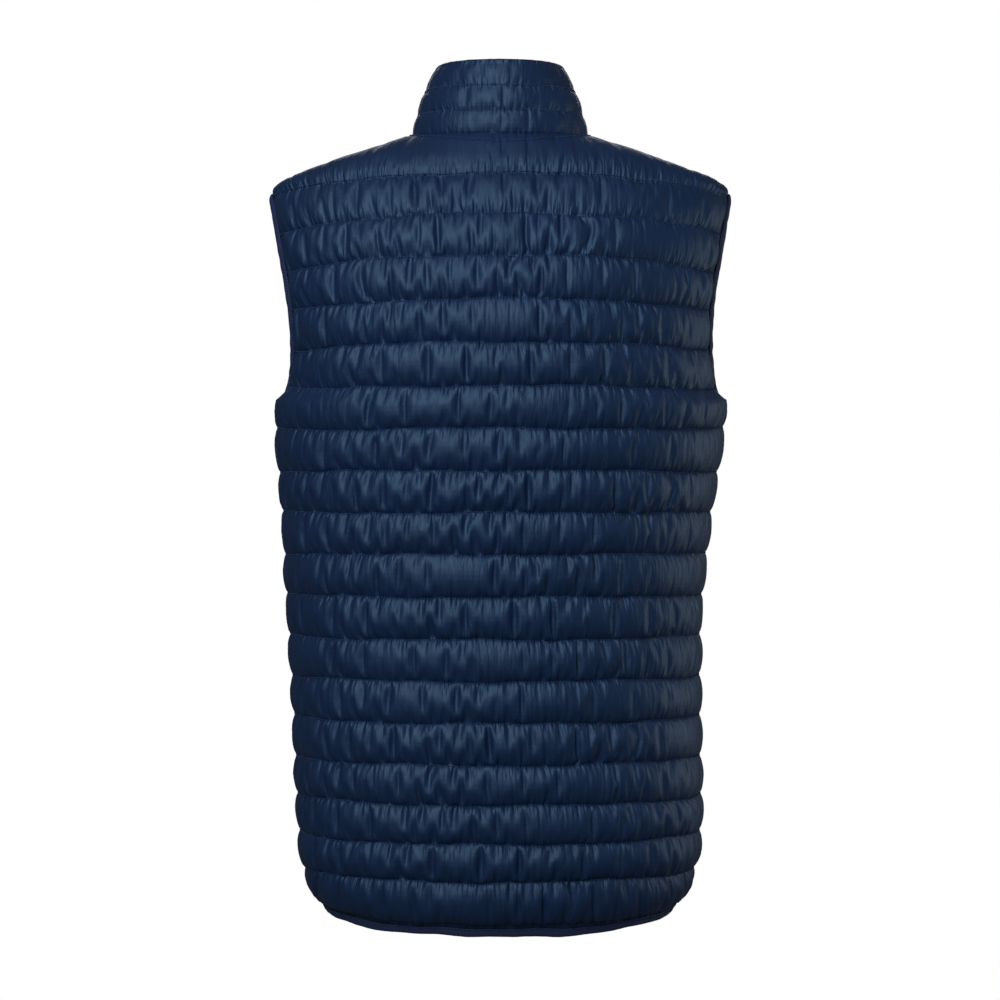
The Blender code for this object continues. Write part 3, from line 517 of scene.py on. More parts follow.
def collar_half(back, front, neck_row):
    """Grid of the collar's left half: rows from the neck seam up, columns from centre back to zip."""
    neck_columns = round(BACK_COLUMNS * BACK_NECK_SHARE)
    base = np.concatenate([back[-1, : neck_columns + 1], front[neck_row:-1, 0][::-1]])
    run = run_of(base)
    top = np.array([collar_top(share) for share in run / run[-1]])
    away = base - np.array([0.0, (NECK_BACK[0] + NECK_FRONT_Y) / 2, 0.0])
    away[:, 2] = 0.0
    away = unit(away)
    grid, baffles, places = [], [], []
    for baffle in range(COLLAR_BAFFLES):
        for step in COLLAR_SHARES + ((1.0,) if baffle == COLLAR_BAFFLES - 1 else ()):
            v = (baffle + step) / COLLAR_BAFFLES
            grid.append(base + (top - base) * v + away * COLLAR_BOW * math.sin(math.pi * v))
            baffles.append(baffle)
            places.append(step)
    return np.array(grid), np.array(baffles), np.array(places)


# The gathered cloth

STRIPS = 6
STRIP_LENGTH = 0.56
STRIP_STEP = 0.00115
STRIP_ROWS = 17
STRIP_CROWN = 0.0058
STRIP_SPREAD = 1.03
STRIP_APART = 1.5
GATHER_PATCH = 0.030
GATHER_UNEVEN = 0.6
GATHER_LIMITS = (0.12, 2.3)
GATHER_SEED = 11
FOLD_SEEDS = 0.0001
FOLD_WIDTH = 1.3
SIM_UNITS = 100.0
SIM_FRAMES = 24
SIM_GATHERED_BY = 14
CLOTH_SETTINGS = {
    "quality": 5,
    "mass": 0.05,
    "air_damping": 3.0,
    "tension_stiffness": 30.0,
    "compression_stiffness": 30.0,
    "shear_stiffness": 9.0,
    "bending_stiffness": 5.0,
    "tension_damping": 5.0,
    "compression_damping": 5.0,
    "shear_damping": 5.0,
    "bending_damping": 0.5,
    "use_pressure": True,
    "uniform_pressure_force": 0.03,
}


class GatheredCloth:
    """Simulated strips of cloth, each gathered between two quilting lines, read by place on a strip."""

    def __init__(self, strips, shares, run):
        self.shares = shares
        self.run = run
        ideal = np.zeros_like(strips[0])
        ideal[..., 0] = run[None]
        ideal[..., 2] = (shares * QUILT_PITCH)[:, None]
        self.shifts = strips - ideal
        self.heights = strips[..., 1] / STRIP_CROWN
        self.mean = self.heights.mean(axis=(0, 2))
        self.mean = (self.mean + self.mean[::-1]) / 2
        self.mean /= self.mean.max()
        self.heights /= self.heights.mean(axis=2).max()

    def crown(self, share):
        """Mean height of the simulated skin across a baffle."""
        return np.interp(share, self.shares, self.mean)

    def read(self, strip, share, distances, turn_along, turn_across):
        """Shift along and across a baffle, and height over its mean, at one share and many distances."""
        if turn_across:
            share = 1.0 - share
        distances = self.run[-1] / 2 + distances / FOLD_WIDTH
        if turn_along:
            distances = self.run[-1] - distances
        low = int(np.clip(np.searchsorted(self.shares, share) - 1, 0, len(self.shares) - 2))
        t = (share - self.shares[low]) / (self.shares[low + 1] - self.shares[low])
        shift = self.shifts[strip, low] * (1 - t) + self.shifts[strip, low + 1] * t
        height = self.heights[strip, low] * (1 - t) + self.heights[strip, low + 1] * t
        along = np.interp(distances, self.run, shift[:, 0]) * (-FOLD_WIDTH if turn_along else FOLD_WIDTH)
        across = np.interp(distances, self.run, shift[:, 2]) * (-1.0 if turn_across else 1.0)
        return along, across, np.interp(distances, self.run, height) - self.crown(share)


def strip_shares():
    even = np.linspace(0.0, 1.0, STRIP_ROWS)
    return 0.5 * even + 0.5 * (0.5 - 0.5 * np.cos(math.pi * even))


def smooth_noise(draws, count, step, patch):
    """Random waves of unit size along a line, about as long as the patch."""
    window = np.hanning(2 * round(patch / step) + 1)
    window = window / np.sqrt((window**2).sum())
    return np.convolve(draws.normal(size=count), window, "same")


def loose_and_gathered(gather):
    """Points of all the strips before and after their seams are drawn up, in simulation units."""
    draws = np.random.default_rng(GATHER_SEED)
    shares = strip_shares()
    run = np.arange(0.0, STRIP_LENGTH, STRIP_STEP)
    loose, gathered = [], []
    for k in range(STRIPS):
        flat = np.zeros((STRIP_ROWS, len(run), 3))
        flat[..., 0] = run[None]
        flat[..., 1] = (STRIP_CROWN * np.sqrt(np.maximum(0.0, 1 - (2 * shares - 1) ** 2)))[:, None]
        flat[..., 2] = (shares * QUILT_PITCH)[:, None]
        uneven = smooth_noise(draws, len(run), STRIP_STEP, GATHER_PATCH)
        ease = gather * np.clip(1 + GATHER_UNEVEN * uneven, *GATHER_LIMITS)
        long = flat.copy()
        steps = (1 + (ease[1:] + ease[:-1]) / 2) * STRIP_STEP
        long[..., 0] = np.concatenate([[0.0], np.cumsum(steps)])[None]
        seeds = draws.normal(size=(1, len(run))) + 0.5 * draws.normal(size=(STRIP_ROWS, len(run)))
        long[1:-1, 1:-1, 1] += FOLD_SEEDS * seeds[1:-1, 1:-1]
        drawn = flat.copy()
        middle = QUILT_PITCH / 2
        drawn[..., 2] = middle + (drawn[..., 2] - middle) * STRIP_SPREAD
        for points, kept in ((long, loose), (drawn, gathered)):
            points[..., 2] += k * STRIP_APART * QUILT_PITCH
            kept.append(points * SIM_UNITS)
    return np.array(loose), np.array(gathered), shares, run


def grid_faces(rows, columns, first=0):
    """Quads of a grid of points, row by row."""
    corner = first + np.arange(rows - 1)[:, None] * columns + np.arange(columns - 1)[None]
    quads = np.stack([corner, corner + columns, corner + columns + 1, corner + 1], axis=-1)
    return quads.reshape(-1, 4)


def settle_strips(loose, gathered):
    """Draws up the seams of the loose strips with a cloth simulation and returns where the cloth ends."""
    strips, rows, columns = loose.shape[:3]
    faces = [grid_faces(rows, columns, k * rows * columns) for k in range(strips)]
    mesh = bpy.data.meshes.new("gathering")
    mesh.from_pydata(loose.reshape(-1, 3).tolist(), [], np.concatenate(faces).tolist())
    cloth = bpy.data.objects.new("gathering", mesh)
    bpy.context.collection.objects.link(cloth)
    cloth.shape_key_add(name="loose")
    drawn = cloth.shape_key_add(name="gathered")
    drawn.data.foreach_set("co", gathered.reshape(-1).astype(np.float32))
    for value, at in ((0.0, 1), (1.0, SIM_GATHERED_BY)):
        drawn.value = value
        drawn.keyframe_insert("value", frame=at)
    held = np.zeros((strips, rows, columns), bool)
    held[:, [0, -1]] = True
    held[:, :, [0, -1]] = True
    cloth.vertex_groups.new(name="seams").add(np.flatnonzero(held).tolist(), 1.0, "ADD")
    modifier = cloth.modifiers.new("cloth", "CLOTH")
    modifier.collision_settings.use_collision = False
    modifier.point_cache.frame_start = 1
    modifier.point_cache.frame_end = SIM_FRAMES
    settings = modifier.settings
    settings.vertex_group_mass = "seams"
    settings.effector_weights.gravity = 0.0
    for name, value in CLOTH_SETTINGS.items():
        setattr(settings, name, value)
    scene = bpy.context.scene
    for at in range(1, SIM_FRAMES + 1):
        scene.frame_set(at)
    settled = cloth.evaluated_get(bpy.context.evaluated_depsgraph_get()).to_mesh()
    points = np.empty(len(settled.vertices) * 3, np.float32)
    settled.vertices.foreach_get("co", points)
    action, keys = mesh.shape_keys.animation_data.action, mesh.shape_keys
    keys.animation_data_clear()
    bpy.data.actions.remove(action)
    bpy.data.objects.remove(cloth)
    bpy.data.meshes.remove(mesh)
    scene.frame_set(1)
    return points.reshape(loose.shape).astype(float)


def gather_cloth(sizes):
    loose, gathered, shares, run = loose_and_gathered(sizes.gather)
    settled = settle_strips(loose, gathered)
    settled = settled / SIM_UNITS
    settled[..., 2] -= (np.arange(STRIPS) * STRIP_APART * QUILT_PITCH)[:, None, None]
    return GatheredCloth(settled, shares, run)


# Panels

SWAY = [
    # level, sideways
    (-0.720, 0.0005),
    (-0.600, 0.0002),
    (-0.530, 0.0022),
    (-0.460, 0.0040),
    (-0.410, 0.0053),
    (-0.340, 0.0032),
    (-0.280, 0.0008),
    (-0.220, -0.0018),
    (-0.140, -0.0005),
    (0.080, 0.0),
]
SWAY_FRONT = (-0.095, -0.035)
SAG_BEHIND = (0.02, 0.09)
SAG_BELOW = (-0.25, -0.31)
SAG = [
    # level, how far a quilting line there stands above or hangs below its even place
    (-0.6900, 0.0010),
    (-0.6495, 0.0010),
    (-0.6000, -0.0040),
    (-0.5427, -0.0066),
    (-0.4300, -0.0064),
    (-0.3600, -0.0052),
    (-0.2935, -0.0052),
    (-0.2223, -0.0047),
    (-0.1600, -0.0027),
    (-0.1155, -0.0014),
    (-0.0443, -0.0005),
    (0.0000, 0.0000),
]
SEAM_WAVES = [
    # height, wave across, waves up
    (0.0007, 0.190, 11.3),
    (0.0005, 0.083, 17.9),
    (0.0003, 0.041, 7.1),
]
WAVES_BELOW = (0.02, -0.06)
NORMAL_BLUR = 4
ARMHOLE_POINTS = 200
ARMHOLE_LIMIT = 0.05
DISTANCE_PARTS = 40
HINT_RISE = 0.06


def hang(points):
    """Lets the cloth hang a little unevenly, as worn cloth does, apart from the zip."""
    points = np.array(points, float)
    flat = points.reshape(-1, 3)
    held = smoothstep(*SWAY_FRONT, flat[:, 1])
    levels = np.array([row[0] for row in SWAY])
    sideways = np.interp(flat[:, 2], levels, [row[1] for row in SWAY])
    lift = np.zeros(len(flat))
    for height, across, up in SEAM_WAVES:
        lift += height * np.sin(2 * np.pi * (flat[:, 0] / across + flat[:, 2] * up))
    behind = smoothstep(*SAG_BEHIND, flat[:, 1])
    below = smoothstep(*SAG_BELOW, flat[:, 2])
    sag = np.interp(flat[:, 2], [row[0] for row in SAG], [row[1] for row in SAG])
    flat[:, 0] += held * sideways
    flat[:, 2] += held * (lift * smoothstep(*WAVES_BELOW, flat[:, 2]) + sag * np.maximum(behind, below))
    return flat.reshape(points.shape)


def grid_tangents(grid):
    """Unit tangents along and up a grid."""
    return unit(np.gradient(grid, axis=1)), unit(np.gradient(grid, axis=0))


def blurred(field, reach):
    """A grid of vectors averaged over neighbouring columns and rows."""
    for axis, count in ((1, reach), (0, 1)):
        pad = [(0, 0)] * 3
        pad[axis] = (count, count)
        wide = np.pad(field, pad, mode="edge")
        length = field.shape[axis]
        parts = [np.take(wide, range(k, k + length), axis=axis) for k in range(2 * count + 1)]
        field = np.mean(parts, axis=0)
    return field


def grid_normals(grid, outward):
    """Unit normals of a grid, on the side that the outward hint points to."""
    along, up = grid_tangents(grid)
    normals = np.cross(along, up)
    normals = normals * np.sign(np.sum(normals * outward, axis=-1, keepdims=True))
    return unit(blurred(normals, NORMAL_BLUR))


class Panel:
    """A cut piece: the grid of its inside, its normals, and the baffle and share of each row."""

    def __init__(self, grid, baffles, places, outward):
        self.grid = grid
        self.baffles = baffles
        self.places = places
        self.normals = grid_normals(grid, outward)
        self.wall = np.full(grid.shape[:2], WALL)
        self.fill = np.ones(grid.shape[:2])
        self.puff = 0.0
        self.swell = 0.0
        self.anchor = 0
        self.lively = np.ones(grid.shape[1])

    def run(self):
        """Distance along each row from its first column."""
        steps = np.linalg.norm(np.diff(self.grid, axis=1), axis=2)
        return np.concatenate([np.zeros((len(self.grid), 1)), np.cumsum(steps, axis=1)], axis=1)

    def climb(self):
        """Distance up each column from its first row."""
        steps = np.linalg.norm(np.diff(self.grid, axis=0), axis=2)
        return np.concatenate([np.zeros((1, self.grid.shape[1])), np.cumsum(steps, axis=0)])

    def joined(self):
        """The half panel joined to its mirror image across the middle plane."""
        whole = object.__new__(Panel)
        whole.baffles, whole.places = self.baffles, self.places
        whole.puff, whole.swell = self.puff, self.swell
        whole.anchor = self.grid.shape[1] - 1
        for name in ("grid", "normals"):
            half = getattr(self, name)
            setattr(whole, name, np.concatenate([half[:, :0:-1] * TO_THE_RIGHT, half], axis=1))
        for name in ("wall", "fill"):
            half = getattr(self, name)
            setattr(whole, name, np.concatenate([half[:, :0:-1], half], axis=1))
        whole.lively = 1.0 - CALM_RIGHT * smoothstep(*CALM_FROM, -whole.grid[len(whole.grid) // 2, :, 0])
        return whole

    def flipped(self):
        """The same panel for the wearer's right."""
        other = object.__new__(Panel)
        other.__dict__.update(self.__dict__)
        other.grid, other.normals = self.grid * TO_THE_RIGHT, self.normals * TO_THE_RIGHT
        return other


def distance_to(points, curve, limit):
    """Distance of each grid point from a curve, up to a limit."""
    flat = points.reshape(-1, 3)
    low, high = curve.min(axis=0) - limit, curve.max(axis=0) + limit
    near = np.flatnonzero(np.all((flat > low) & (flat < high), axis=1))
    distance = np.full(len(flat), limit)
    for part in np.array_split(near, DISTANCE_PARTS):
        gaps = np.linalg.norm(flat[part][:, None] - curve[None], axis=2)
        distance[part] = np.minimum(limit, gaps.min(axis=1))
    return distance.reshape(points.shape[:-1])


def armhole_curve(side):
    """Fine points of the armhole's edge on one panel."""
    shares = np.linspace(0.0, 1.0, ARMHOLE_POINTS) ** 2
    reach = SHOULDER_TIP[1] - UNDERARM[1]
    low = [armhole_edge(side, UNDERARM[1] + reach * 0.5 * s) for s in shares]
    high = [armhole_edge(side, SHOULDER_TIP[1] - reach * 0.5 * s) for s in shares[-2::-1]]
    return np.array(low + high)


def outward_hint(grid):
    hint = grid.copy()
    hint[..., 2] = HINT_RISE
    return hint


def set_edges(panel, side):
    """Presses a body panel flat at its armhole, hem and seams, and thins its wall under the bindings."""
    grid = panel.grid
    from_armhole = distance_to(grid, armhole_curve(side), ARMHOLE_LIMIT)
    from_edge = panel.run()[:, -1:] - panel.run()
    seam = grid[:, -1, 2] < UNDERARM[1]
    panel.fill *= rise(from_armhole - EDGE_STRIP, ARMHOLE_RISE)
    panel.fill[seam] *= rise(from_edge[seam], SEAM_RISE)
    from_hem = panel.climb()
    grip = np.minimum(from_armhole, from_hem) - EDGE_STRIP
    inset = from_hem[-1:] - from_hem
    inset[seam] = np.minimum(inset, from_edge)[seam]
    if side == "front":
        inset = np.minimum(inset, panel.run())
        panel.fill *= rise(panel.run(), ZIP_EDGE_RISE)
    full = WALL + (SEAM_WALL - WALL) * smoothstep(0.0, SEAM_WALL_RISE, inset)
    panel.wall = EDGE_WALL + (full - EDGE_WALL) * smoothstep(0.0, WALL_RISE, grip)
    panel.fill[: HEM_ROWS + 1] = 0.0


def set_seam_normals(back, front, collar, neck_row):
    """Gives pieces that meet at a seam one shared normal there, so that their walls are mitred."""
    neck = round(BACK_COLUMNS * BACK_NECK_SHARE)
    for panel in (back, front):
        seam = panel.grid[:, -1, 2] <= UNDERARM[1] + TOUCH
        panel.normals[seam, -1, 1] = 0.0
    back.normals[-1, neck:] = shoulder_normal()
    front.normals[-1] = shoulder_normal()
    back.normals[:, 0, 0] = 0.0
    collar.normals[:, 0, 0] = 0.0
    for panel in (back, front, collar):
        panel.normals = unit(panel.normals)
    back_part = unit(collar.normals[0, : neck + 1] + back.normals[-1, : neck + 1])
    front_part = unit(collar.normals[0, neck:] + front.normals[neck_row:, 0][::-1])
    front_part[0] = back_part[-1]
    back.normals[-1, : neck + 1] = back_part
    collar.normals[0, : neck + 1] = back_part
    front.normals[neck_row:, 0] = front_part[::-1]
    collar.normals[0, neck:] = front_part


def pull_in(points, half, row=None, column=None):
    """Draws one edge of a grid back by half the seam gap, or out by half the lap."""
    if row is not None:
        neighbour = points[row + 1] if row == 0 else points[row - 1]
        points[row] += unit(neighbour - points[row]) * half
    if column is not None:
        neighbour = points[:, column + 1] if column == 0 else points[:, column - 1]
        points[:, column] += unit(neighbour - points[:, column]) * half


# Strip that each piece's lowest baffle starts from, and how the strips are dealt out after it
FIRST_STRIP = {"back": 3, "left": 8, "right": 13, "collar": 21}
STRIP_TURN = 5
STRIP_SLIDE = 0.382
STRIP_PLAY = 0.11
CALM_RIGHT = 0.3
CALM_FROM = (0.03, 0.13)
TOP_FOLDS = 0.5
TOP_FOLDS_FADE = (0.95, 0.7)
LEAST_WALL = 0.6


def top_profile(share):
    """Height of the wide baffle under the neck and shoulder seams, fullest near its quilting line."""
    if share < TOP_CROWN:
        return math.sqrt(max(0.0, 1.0 - (share / TOP_CROWN - 1.0) ** 2))
    return max(0.0, 1.0 - ((share - TOP_CROWN) / (1.0 - TOP_CROWN)) ** 2) * (1.0 - TOP_FADE * share)


def quilted_skin(panel, cloth, start, top_baffle=None, end_fill=0.0):
    """Outer points of a panel: the wall, the fill and the gathers of the cloth over it."""
    along, climb = grid_tangents(panel.grid)
    up = unit(np.cross(panel.normals, along))
    up = up * np.sign(np.sum(up * climb, axis=-1, keepdims=True))
    run = panel.run()
    outer = np.empty_like(panel.grid)
    for j, (baffle, share) in enumerate(zip(panel.baffles, panel.places)):
        turn = start + int(baffle)
        strip = (turn * STRIP_TURN) % STRIPS
        place = run[j] - run[j, panel.anchor]
        offset = STRIP_PLAY * (((turn * STRIP_SLIDE) % 1.0) - 0.5)
        shift, across, swell = cloth.read(strip, share, place + offset, turn % 2 == 1, turn % 3 == 1)
        height = 1.0 - abs(2 * share - 1.0) ** CROWN_POWER
        height -= SEAM_NOTCH * math.exp(-min(share, 1.0 - share) / SEAM_NOTCH_SHARE)
        if baffle == top_baffle:
            height = top_profile(share)
            swell = swell * TOP_FOLDS * smoothstep(*TOP_FOLDS_FADE, share)
        elif end_fill and baffle == panel.baffles[-1]:
            height = max(height, end_fill * share)
        weight = panel.fill[j] * (SIDE_PUFF + (1.0 - SIDE_PUFF) * np.abs(panel.normals[j, :, 1]))
        swell = swell * panel.lively * panel.swell
        wall = panel.wall[j]
        bulge = np.maximum(wall + weight * (panel.puff * height + swell), wall * LEAST_WALL)
        slip = weight * panel.lively * min(1.0, panel.swell / STRIP_CROWN)
        outer[j] = panel.grid[j] + bulge[:, None] * panel.normals[j]
        outer[j] += (slip * shift)[:, None] * along[j] + (slip * across)[:, None] * up[j]
    return outer


def inner_skin(panel):
    """Inner points of a panel, with the quilting showing faintly on the inside."""
    dip = np.sin(np.pi * panel.places)[:, None] * panel.fill * INNER_PUFF
    return panel.grid - dip[..., None] * panel.normals


def kept_rows(panel):
    """Rows that the plain inside keeps."""
    last = len(panel.places) - 1
    wanted = [j for j, share in enumerate(panel.places) if any(abs(share - s) < TOUCH for s in INNER_SHARES)]
    return sorted(set(wanted + [0, last]))


def rim_points(outer, inner, count):
    """Rows that round a wall's top edge over from the outside to the inside."""
    top_out, top_in = outer[-1], inner[-1]
    middle, half = (top_out + top_in) / 2, (top_out - top_in) / 2
    lift = unit(outer[-1] - outer[-2]) * np.linalg.norm(half, axis=1)[:, None]
    angles = [math.pi * (k + 1) / (count + 1) for k in range(count)]
    return [middle + half * math.cos(a) + lift * math.sin(a) for a in angles]


def wall_mesh(name, panel, outer, inner, rim=0):
    """Closed wall between a fine outside and a plain inside, with lengths along and up it as UVs."""
    rows, columns = outer.shape[:2]
    keep_rows = kept_rows(panel)
    keep_columns = sorted(set(list(range(0, columns, INNER_COLUMN_STEP)) + [columns - 1]))
    points = [outer.reshape(-1, 3)]
    run, climb = panel.run(), panel.climb()
    lengths = [np.stack([run - run.mean(axis=1, keepdims=True), climb], axis=-1).reshape(-1, 2)]
    outer_id = np.arange(rows * columns).reshape(rows, columns)
    top = list(outer_id[-1])
    faces = grid_faces(rows, columns).tolist()
    count = rows * columns
    for row in rim_points(outer, inner, rim):
        ids = list(range(count, count + columns))
        faces += [(top[i], ids[i], ids[i + 1], top[i + 1]) for i in range(columns - 1)]
        points.append(row)
        lengths.append(lengths[0][outer_id[-1]])
        top = ids
        count += columns
    picked = np.ix_(keep_rows, keep_columns)
    kept = (len(keep_rows), len(keep_columns))
    inner_id = count + np.arange(kept[0] * kept[1]).reshape(kept)
    points.append(inner[picked].reshape(-1, 3))
    lengths.append(lengths[0].reshape(rows, columns, 2)[picked].reshape(-1, 2))
    flat = grid_faces(*kept, count)
    faces += flat[:, ::-1].tolist()
    for n, (a, b) in enumerate(zip(keep_columns, keep_columns[1:])):
        faces.append(tuple(outer_id[0, a : b + 1]) + (inner_id[0, n + 1], inner_id[0, n]))
        faces.append(tuple(top[a : b + 1][::-1]) + (inner_id[-1, n], inner_id[-1, n + 1]))
    for n, (a, b) in enumerate(zip(keep_rows, keep_rows[1:])):
        first = tuple(outer_id[a : b + 1, 0][::-1])
        last = tuple(outer_id[a : b + 1, -1])
        if rim and b == rows - 1:
            climbs = [rows * columns + k * columns for k in range(rim)]
            first = tuple(climbs[::-1]) + first
            last = last + tuple(k + columns - 1 for k in climbs)
        faces.append(first + (inner_id[n, 0], inner_id[n + 1, 0]))
        faces.append(last + (inner_id[n + 1, -1], inner_id[n, -1]))
    obj = cloth_object(name, hang(np.concatenate(points)), faces, np.concatenate(lengths))
    shares = np.minimum(panel.places, 1.0 - np.asarray(panel.places))
    near = np.zeros(len(obj.data.vertices), np.float32)
    near[: rows * columns] = np.repeat(np.exp(-shares * QUILT_PITCH / TUCK_REACH), columns)
    obj.data.attributes.new("tucks", "FLOAT", "POINT").data.foreach_set("value", near)
    return obj


def cloth_object(name, points, faces, lengths=None):
    """A smooth mesh object, with a UV map in metres where lengths are given."""
    mesh = bpy.data.meshes.new(name)
    mesh.from_pydata(np.asarray(points).tolist(), [], [tuple(int(v) for v in face) for face in faces])
    shape = bmesh.new()
    shape.from_mesh(mesh)
    bmesh.ops.recalc_face_normals(shape, faces=shape.faces)
    shape.to_mesh(mesh)
    shape.free()
    if lengths is not None:
        corners = np.empty(len(mesh.loops), np.int32)
        mesh.loops.foreach_get("vertex_index", corners)
        layer = mesh.uv_layers.new(name="lengths")
        layer.data.foreach_set("uv", np.asarray(lengths, np.float32)[corners].reshape(-1))
    mesh.shade_smooth()
    mesh.set_sharp_from_angle(angle=CLOTH_SHARP_ANGLE)
    obj = bpy.data.objects.new(name, mesh)
    bpy.context.collection.objects.link(obj)
    return obj


def finish_piece(obj, material, slot, body, *nodes):
    """Gives a piece its material and body, and hides the solids it stands for; its slot is not used."""
    obj.data.materials.clear()
    obj.data.materials.append(material)
    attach(obj, body)
    if nodes:
        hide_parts(*nodes)
    return obj


_made = {"skins": {}}


def panels(sizes):
    """The cut pieces of the left half, worked out once."""
    if "panels" in _made:
        return _made["panels"]
    back_grid, back_baffles, back_places = back_half()
    front_grid, front_baffles, front_places, neck_row = front_half()
    collar_grid, collar_baffles, collar_places = collar_half(back_grid, front_grid, neck_row)
    back = Panel(back_grid, back_baffles, back_places, outward_hint(back_grid))
    front = Panel(front_grid, front_baffles, front_places, outward_hint(front_grid))
    middle = np.array([0.0, (COLLAR_TOP_BACK_Y + COLLAR_TOP_FRONT_Y) / 2, 0.0])
    collar = Panel(collar_grid, collar_baffles, collar_places, collar_grid - middle)
    set_seam_normals(back, front, collar, neck_row)
    set_edges(back, "back")
    set_edges(front, "front")
    from_zip = collar.run()[:, -1:] - collar.run()
    collar.fill = rise(from_zip, ZIP_EDGE_RISE)
    back.puff = front.puff = sizes.body_puff
    collar.puff = sizes.collar_puff
    back.swell = front.swell = sizes.folds * STRIP_CROWN
    collar.swell = sizes.collar_puff
    _made["panels"] = back, front, collar, neck_row
    _made["cloth"] = gather_cloth(sizes)
    return _made["panels"]


def seam_gaps(panel, points, kind, neck_row, half=SEAM_GAP / 2):
    """Opens a hair's breadth at a panel's seams outside; inside, the cloth laps so no light comes through."""
    seam_rows = np.flatnonzero(panel.grid[:, -1, 2] <= UNDERARM[1] + TOUCH)
    if kind == "collar":
        pull_in(points, half, row=0)
        return points
    pull_in(points, half, row=len(points) - 1)
    pull_in(points[: seam_rows[-1] + 1], half, column=points.shape[1] - 1)
    if kind == "back":
        pull_in(points[: seam_rows[-1] + 1], half, column=0)
    else:
        pull_in(points[neck_row:], half, column=0)
    return points


class VEST_OT_back(bpy.types.Operator):
    """Makes the quilted back"""

    bl_idname = "vest.back"
    bl_label = "Quilted back"

    def execute(self, context):
        sizes = context.scene.vest_sizes
        back, _, _, neck_row = panels(sizes)
        whole = back.joined()
        outer = quilted_skin(whole, _made["cloth"], FIRST_STRIP["back"], QUILT_LINES)
        outer = seam_gaps(whole, outer, "back", neck_row)
        inner = seam_gaps(whole, inner_skin(whole), "back", neck_row, -SEAM_LAP / 2)
        _made["skins"]["back"] = whole, outer
        piece = wall_mesh("quilted_back", whole, outer, inner)
        finish_piece(piece, nylon(context.scene.vest_colours), "quilted_shell", BODY, "back")
        return {"FINISHED"}


class VEST_OT_fronts(bpy.types.Operator):
    """Makes the two quilted fronts"""

    bl_idname = "vest.fronts"
    bl_label = "Quilted fronts"

    def execute(self, context):
        sizes = context.scene.vest_sizes
        _, front, _, neck_row = panels(sizes)
        for side, panel in (("left", front), ("right", front.flipped())):
            outer = quilted_skin(panel, _made["cloth"], FIRST_STRIP[side])
            outer = seam_gaps(panel, outer, "front", neck_row)
            inner = seam_gaps(panel, inner_skin(panel), "front", neck_row, -SEAM_LAP / 2)
            _made["skins"][f"front_{side}"] = panel, outer
            piece = wall_mesh(f"quilted_front_{side}", panel, outer, inner)
            nodes = [f"front_{side}_{part}" for part in FRONT_PARTS]
            finish_piece(piece, nylon(context.scene.vest_colours), "quilted_shell", BODY, *nodes)
        return {"FINISHED"}


class VEST_OT_collar(bpy.types.Operator):
    """Makes the quilted stand collar"""

    bl_idname = "vest.collar"
    bl_label = "Quilted collar"

    def execute(self, context):
        sizes = context.scene.vest_sizes
        _, _, collar, neck_row = panels(sizes)
        whole = collar.joined()
        outer = quilted_skin(whole, _made["cloth"], FIRST_STRIP["collar"], end_fill=COLLAR_TOP_EDGE_FILL)
        outer = seam_gaps(whole, outer, "collar", neck_row)
        inner = seam_gaps(whole, inner_skin(whole), "collar", neck_row, -SEAM_LAP / 2)
        _made["skins"]["collar"] = whole, outer
        piece = wall_mesh("quilted_collar", whole, outer, inner, RIM_ROWS)
        finish_piece(piece, nylon(context.scene.vest_colours), "quilted_shell", BODY, "collar")
        return {"FINISHED"}


# Bindings: strips of elastic folded over the raw edges and sewn through

BINDING_COVER = 0.00615
BINDING_HUG = 0.00025
BINDING_STEP = 0.0025
BINDING_BEND_POINTS = 9
BINDING_WAVE = 0.06
BINDING_PATCH = 0.006
STITCH_SHARE = 0.75
BINDING_PROFILE = [
    # share of the way in from the fold, share of the height
    (1.00, 0.16),
    (1.01, 0.50),
    (0.96, 0.66),
    (0.86, 0.61),
    (STITCH_SHARE, 0.46),
    (0.65, 0.62),
    (0.49, 0.83),
    (0.24, 0.97),
    (0.00, 1.00),
]


def binding_outline(far):
    """Section of a folded strip as distances in from the edge and heights from the middle of the wall."""
    half = EDGE_WALL / 2
    upper = [(BINDING_COVER * a, half + far * b) for a, b in BINDING_PROFILE]
    angles = np.linspace(math.pi / 2, 3 * math.pi / 2, BINDING_BEND_POINTS)[1:-1]
    fold = [(far * math.cos(a), (half + far) * math.sin(a)) for a in angles]
    lower = [(a, -b) for a, b in upper[::-1]]
    inside = [(0.0, -half - BINDING_HUG), (-BINDING_HUG, 0.0), (0.0, half + BINDING_HUG)]
    return np.array(upper + fold + lower + inside)


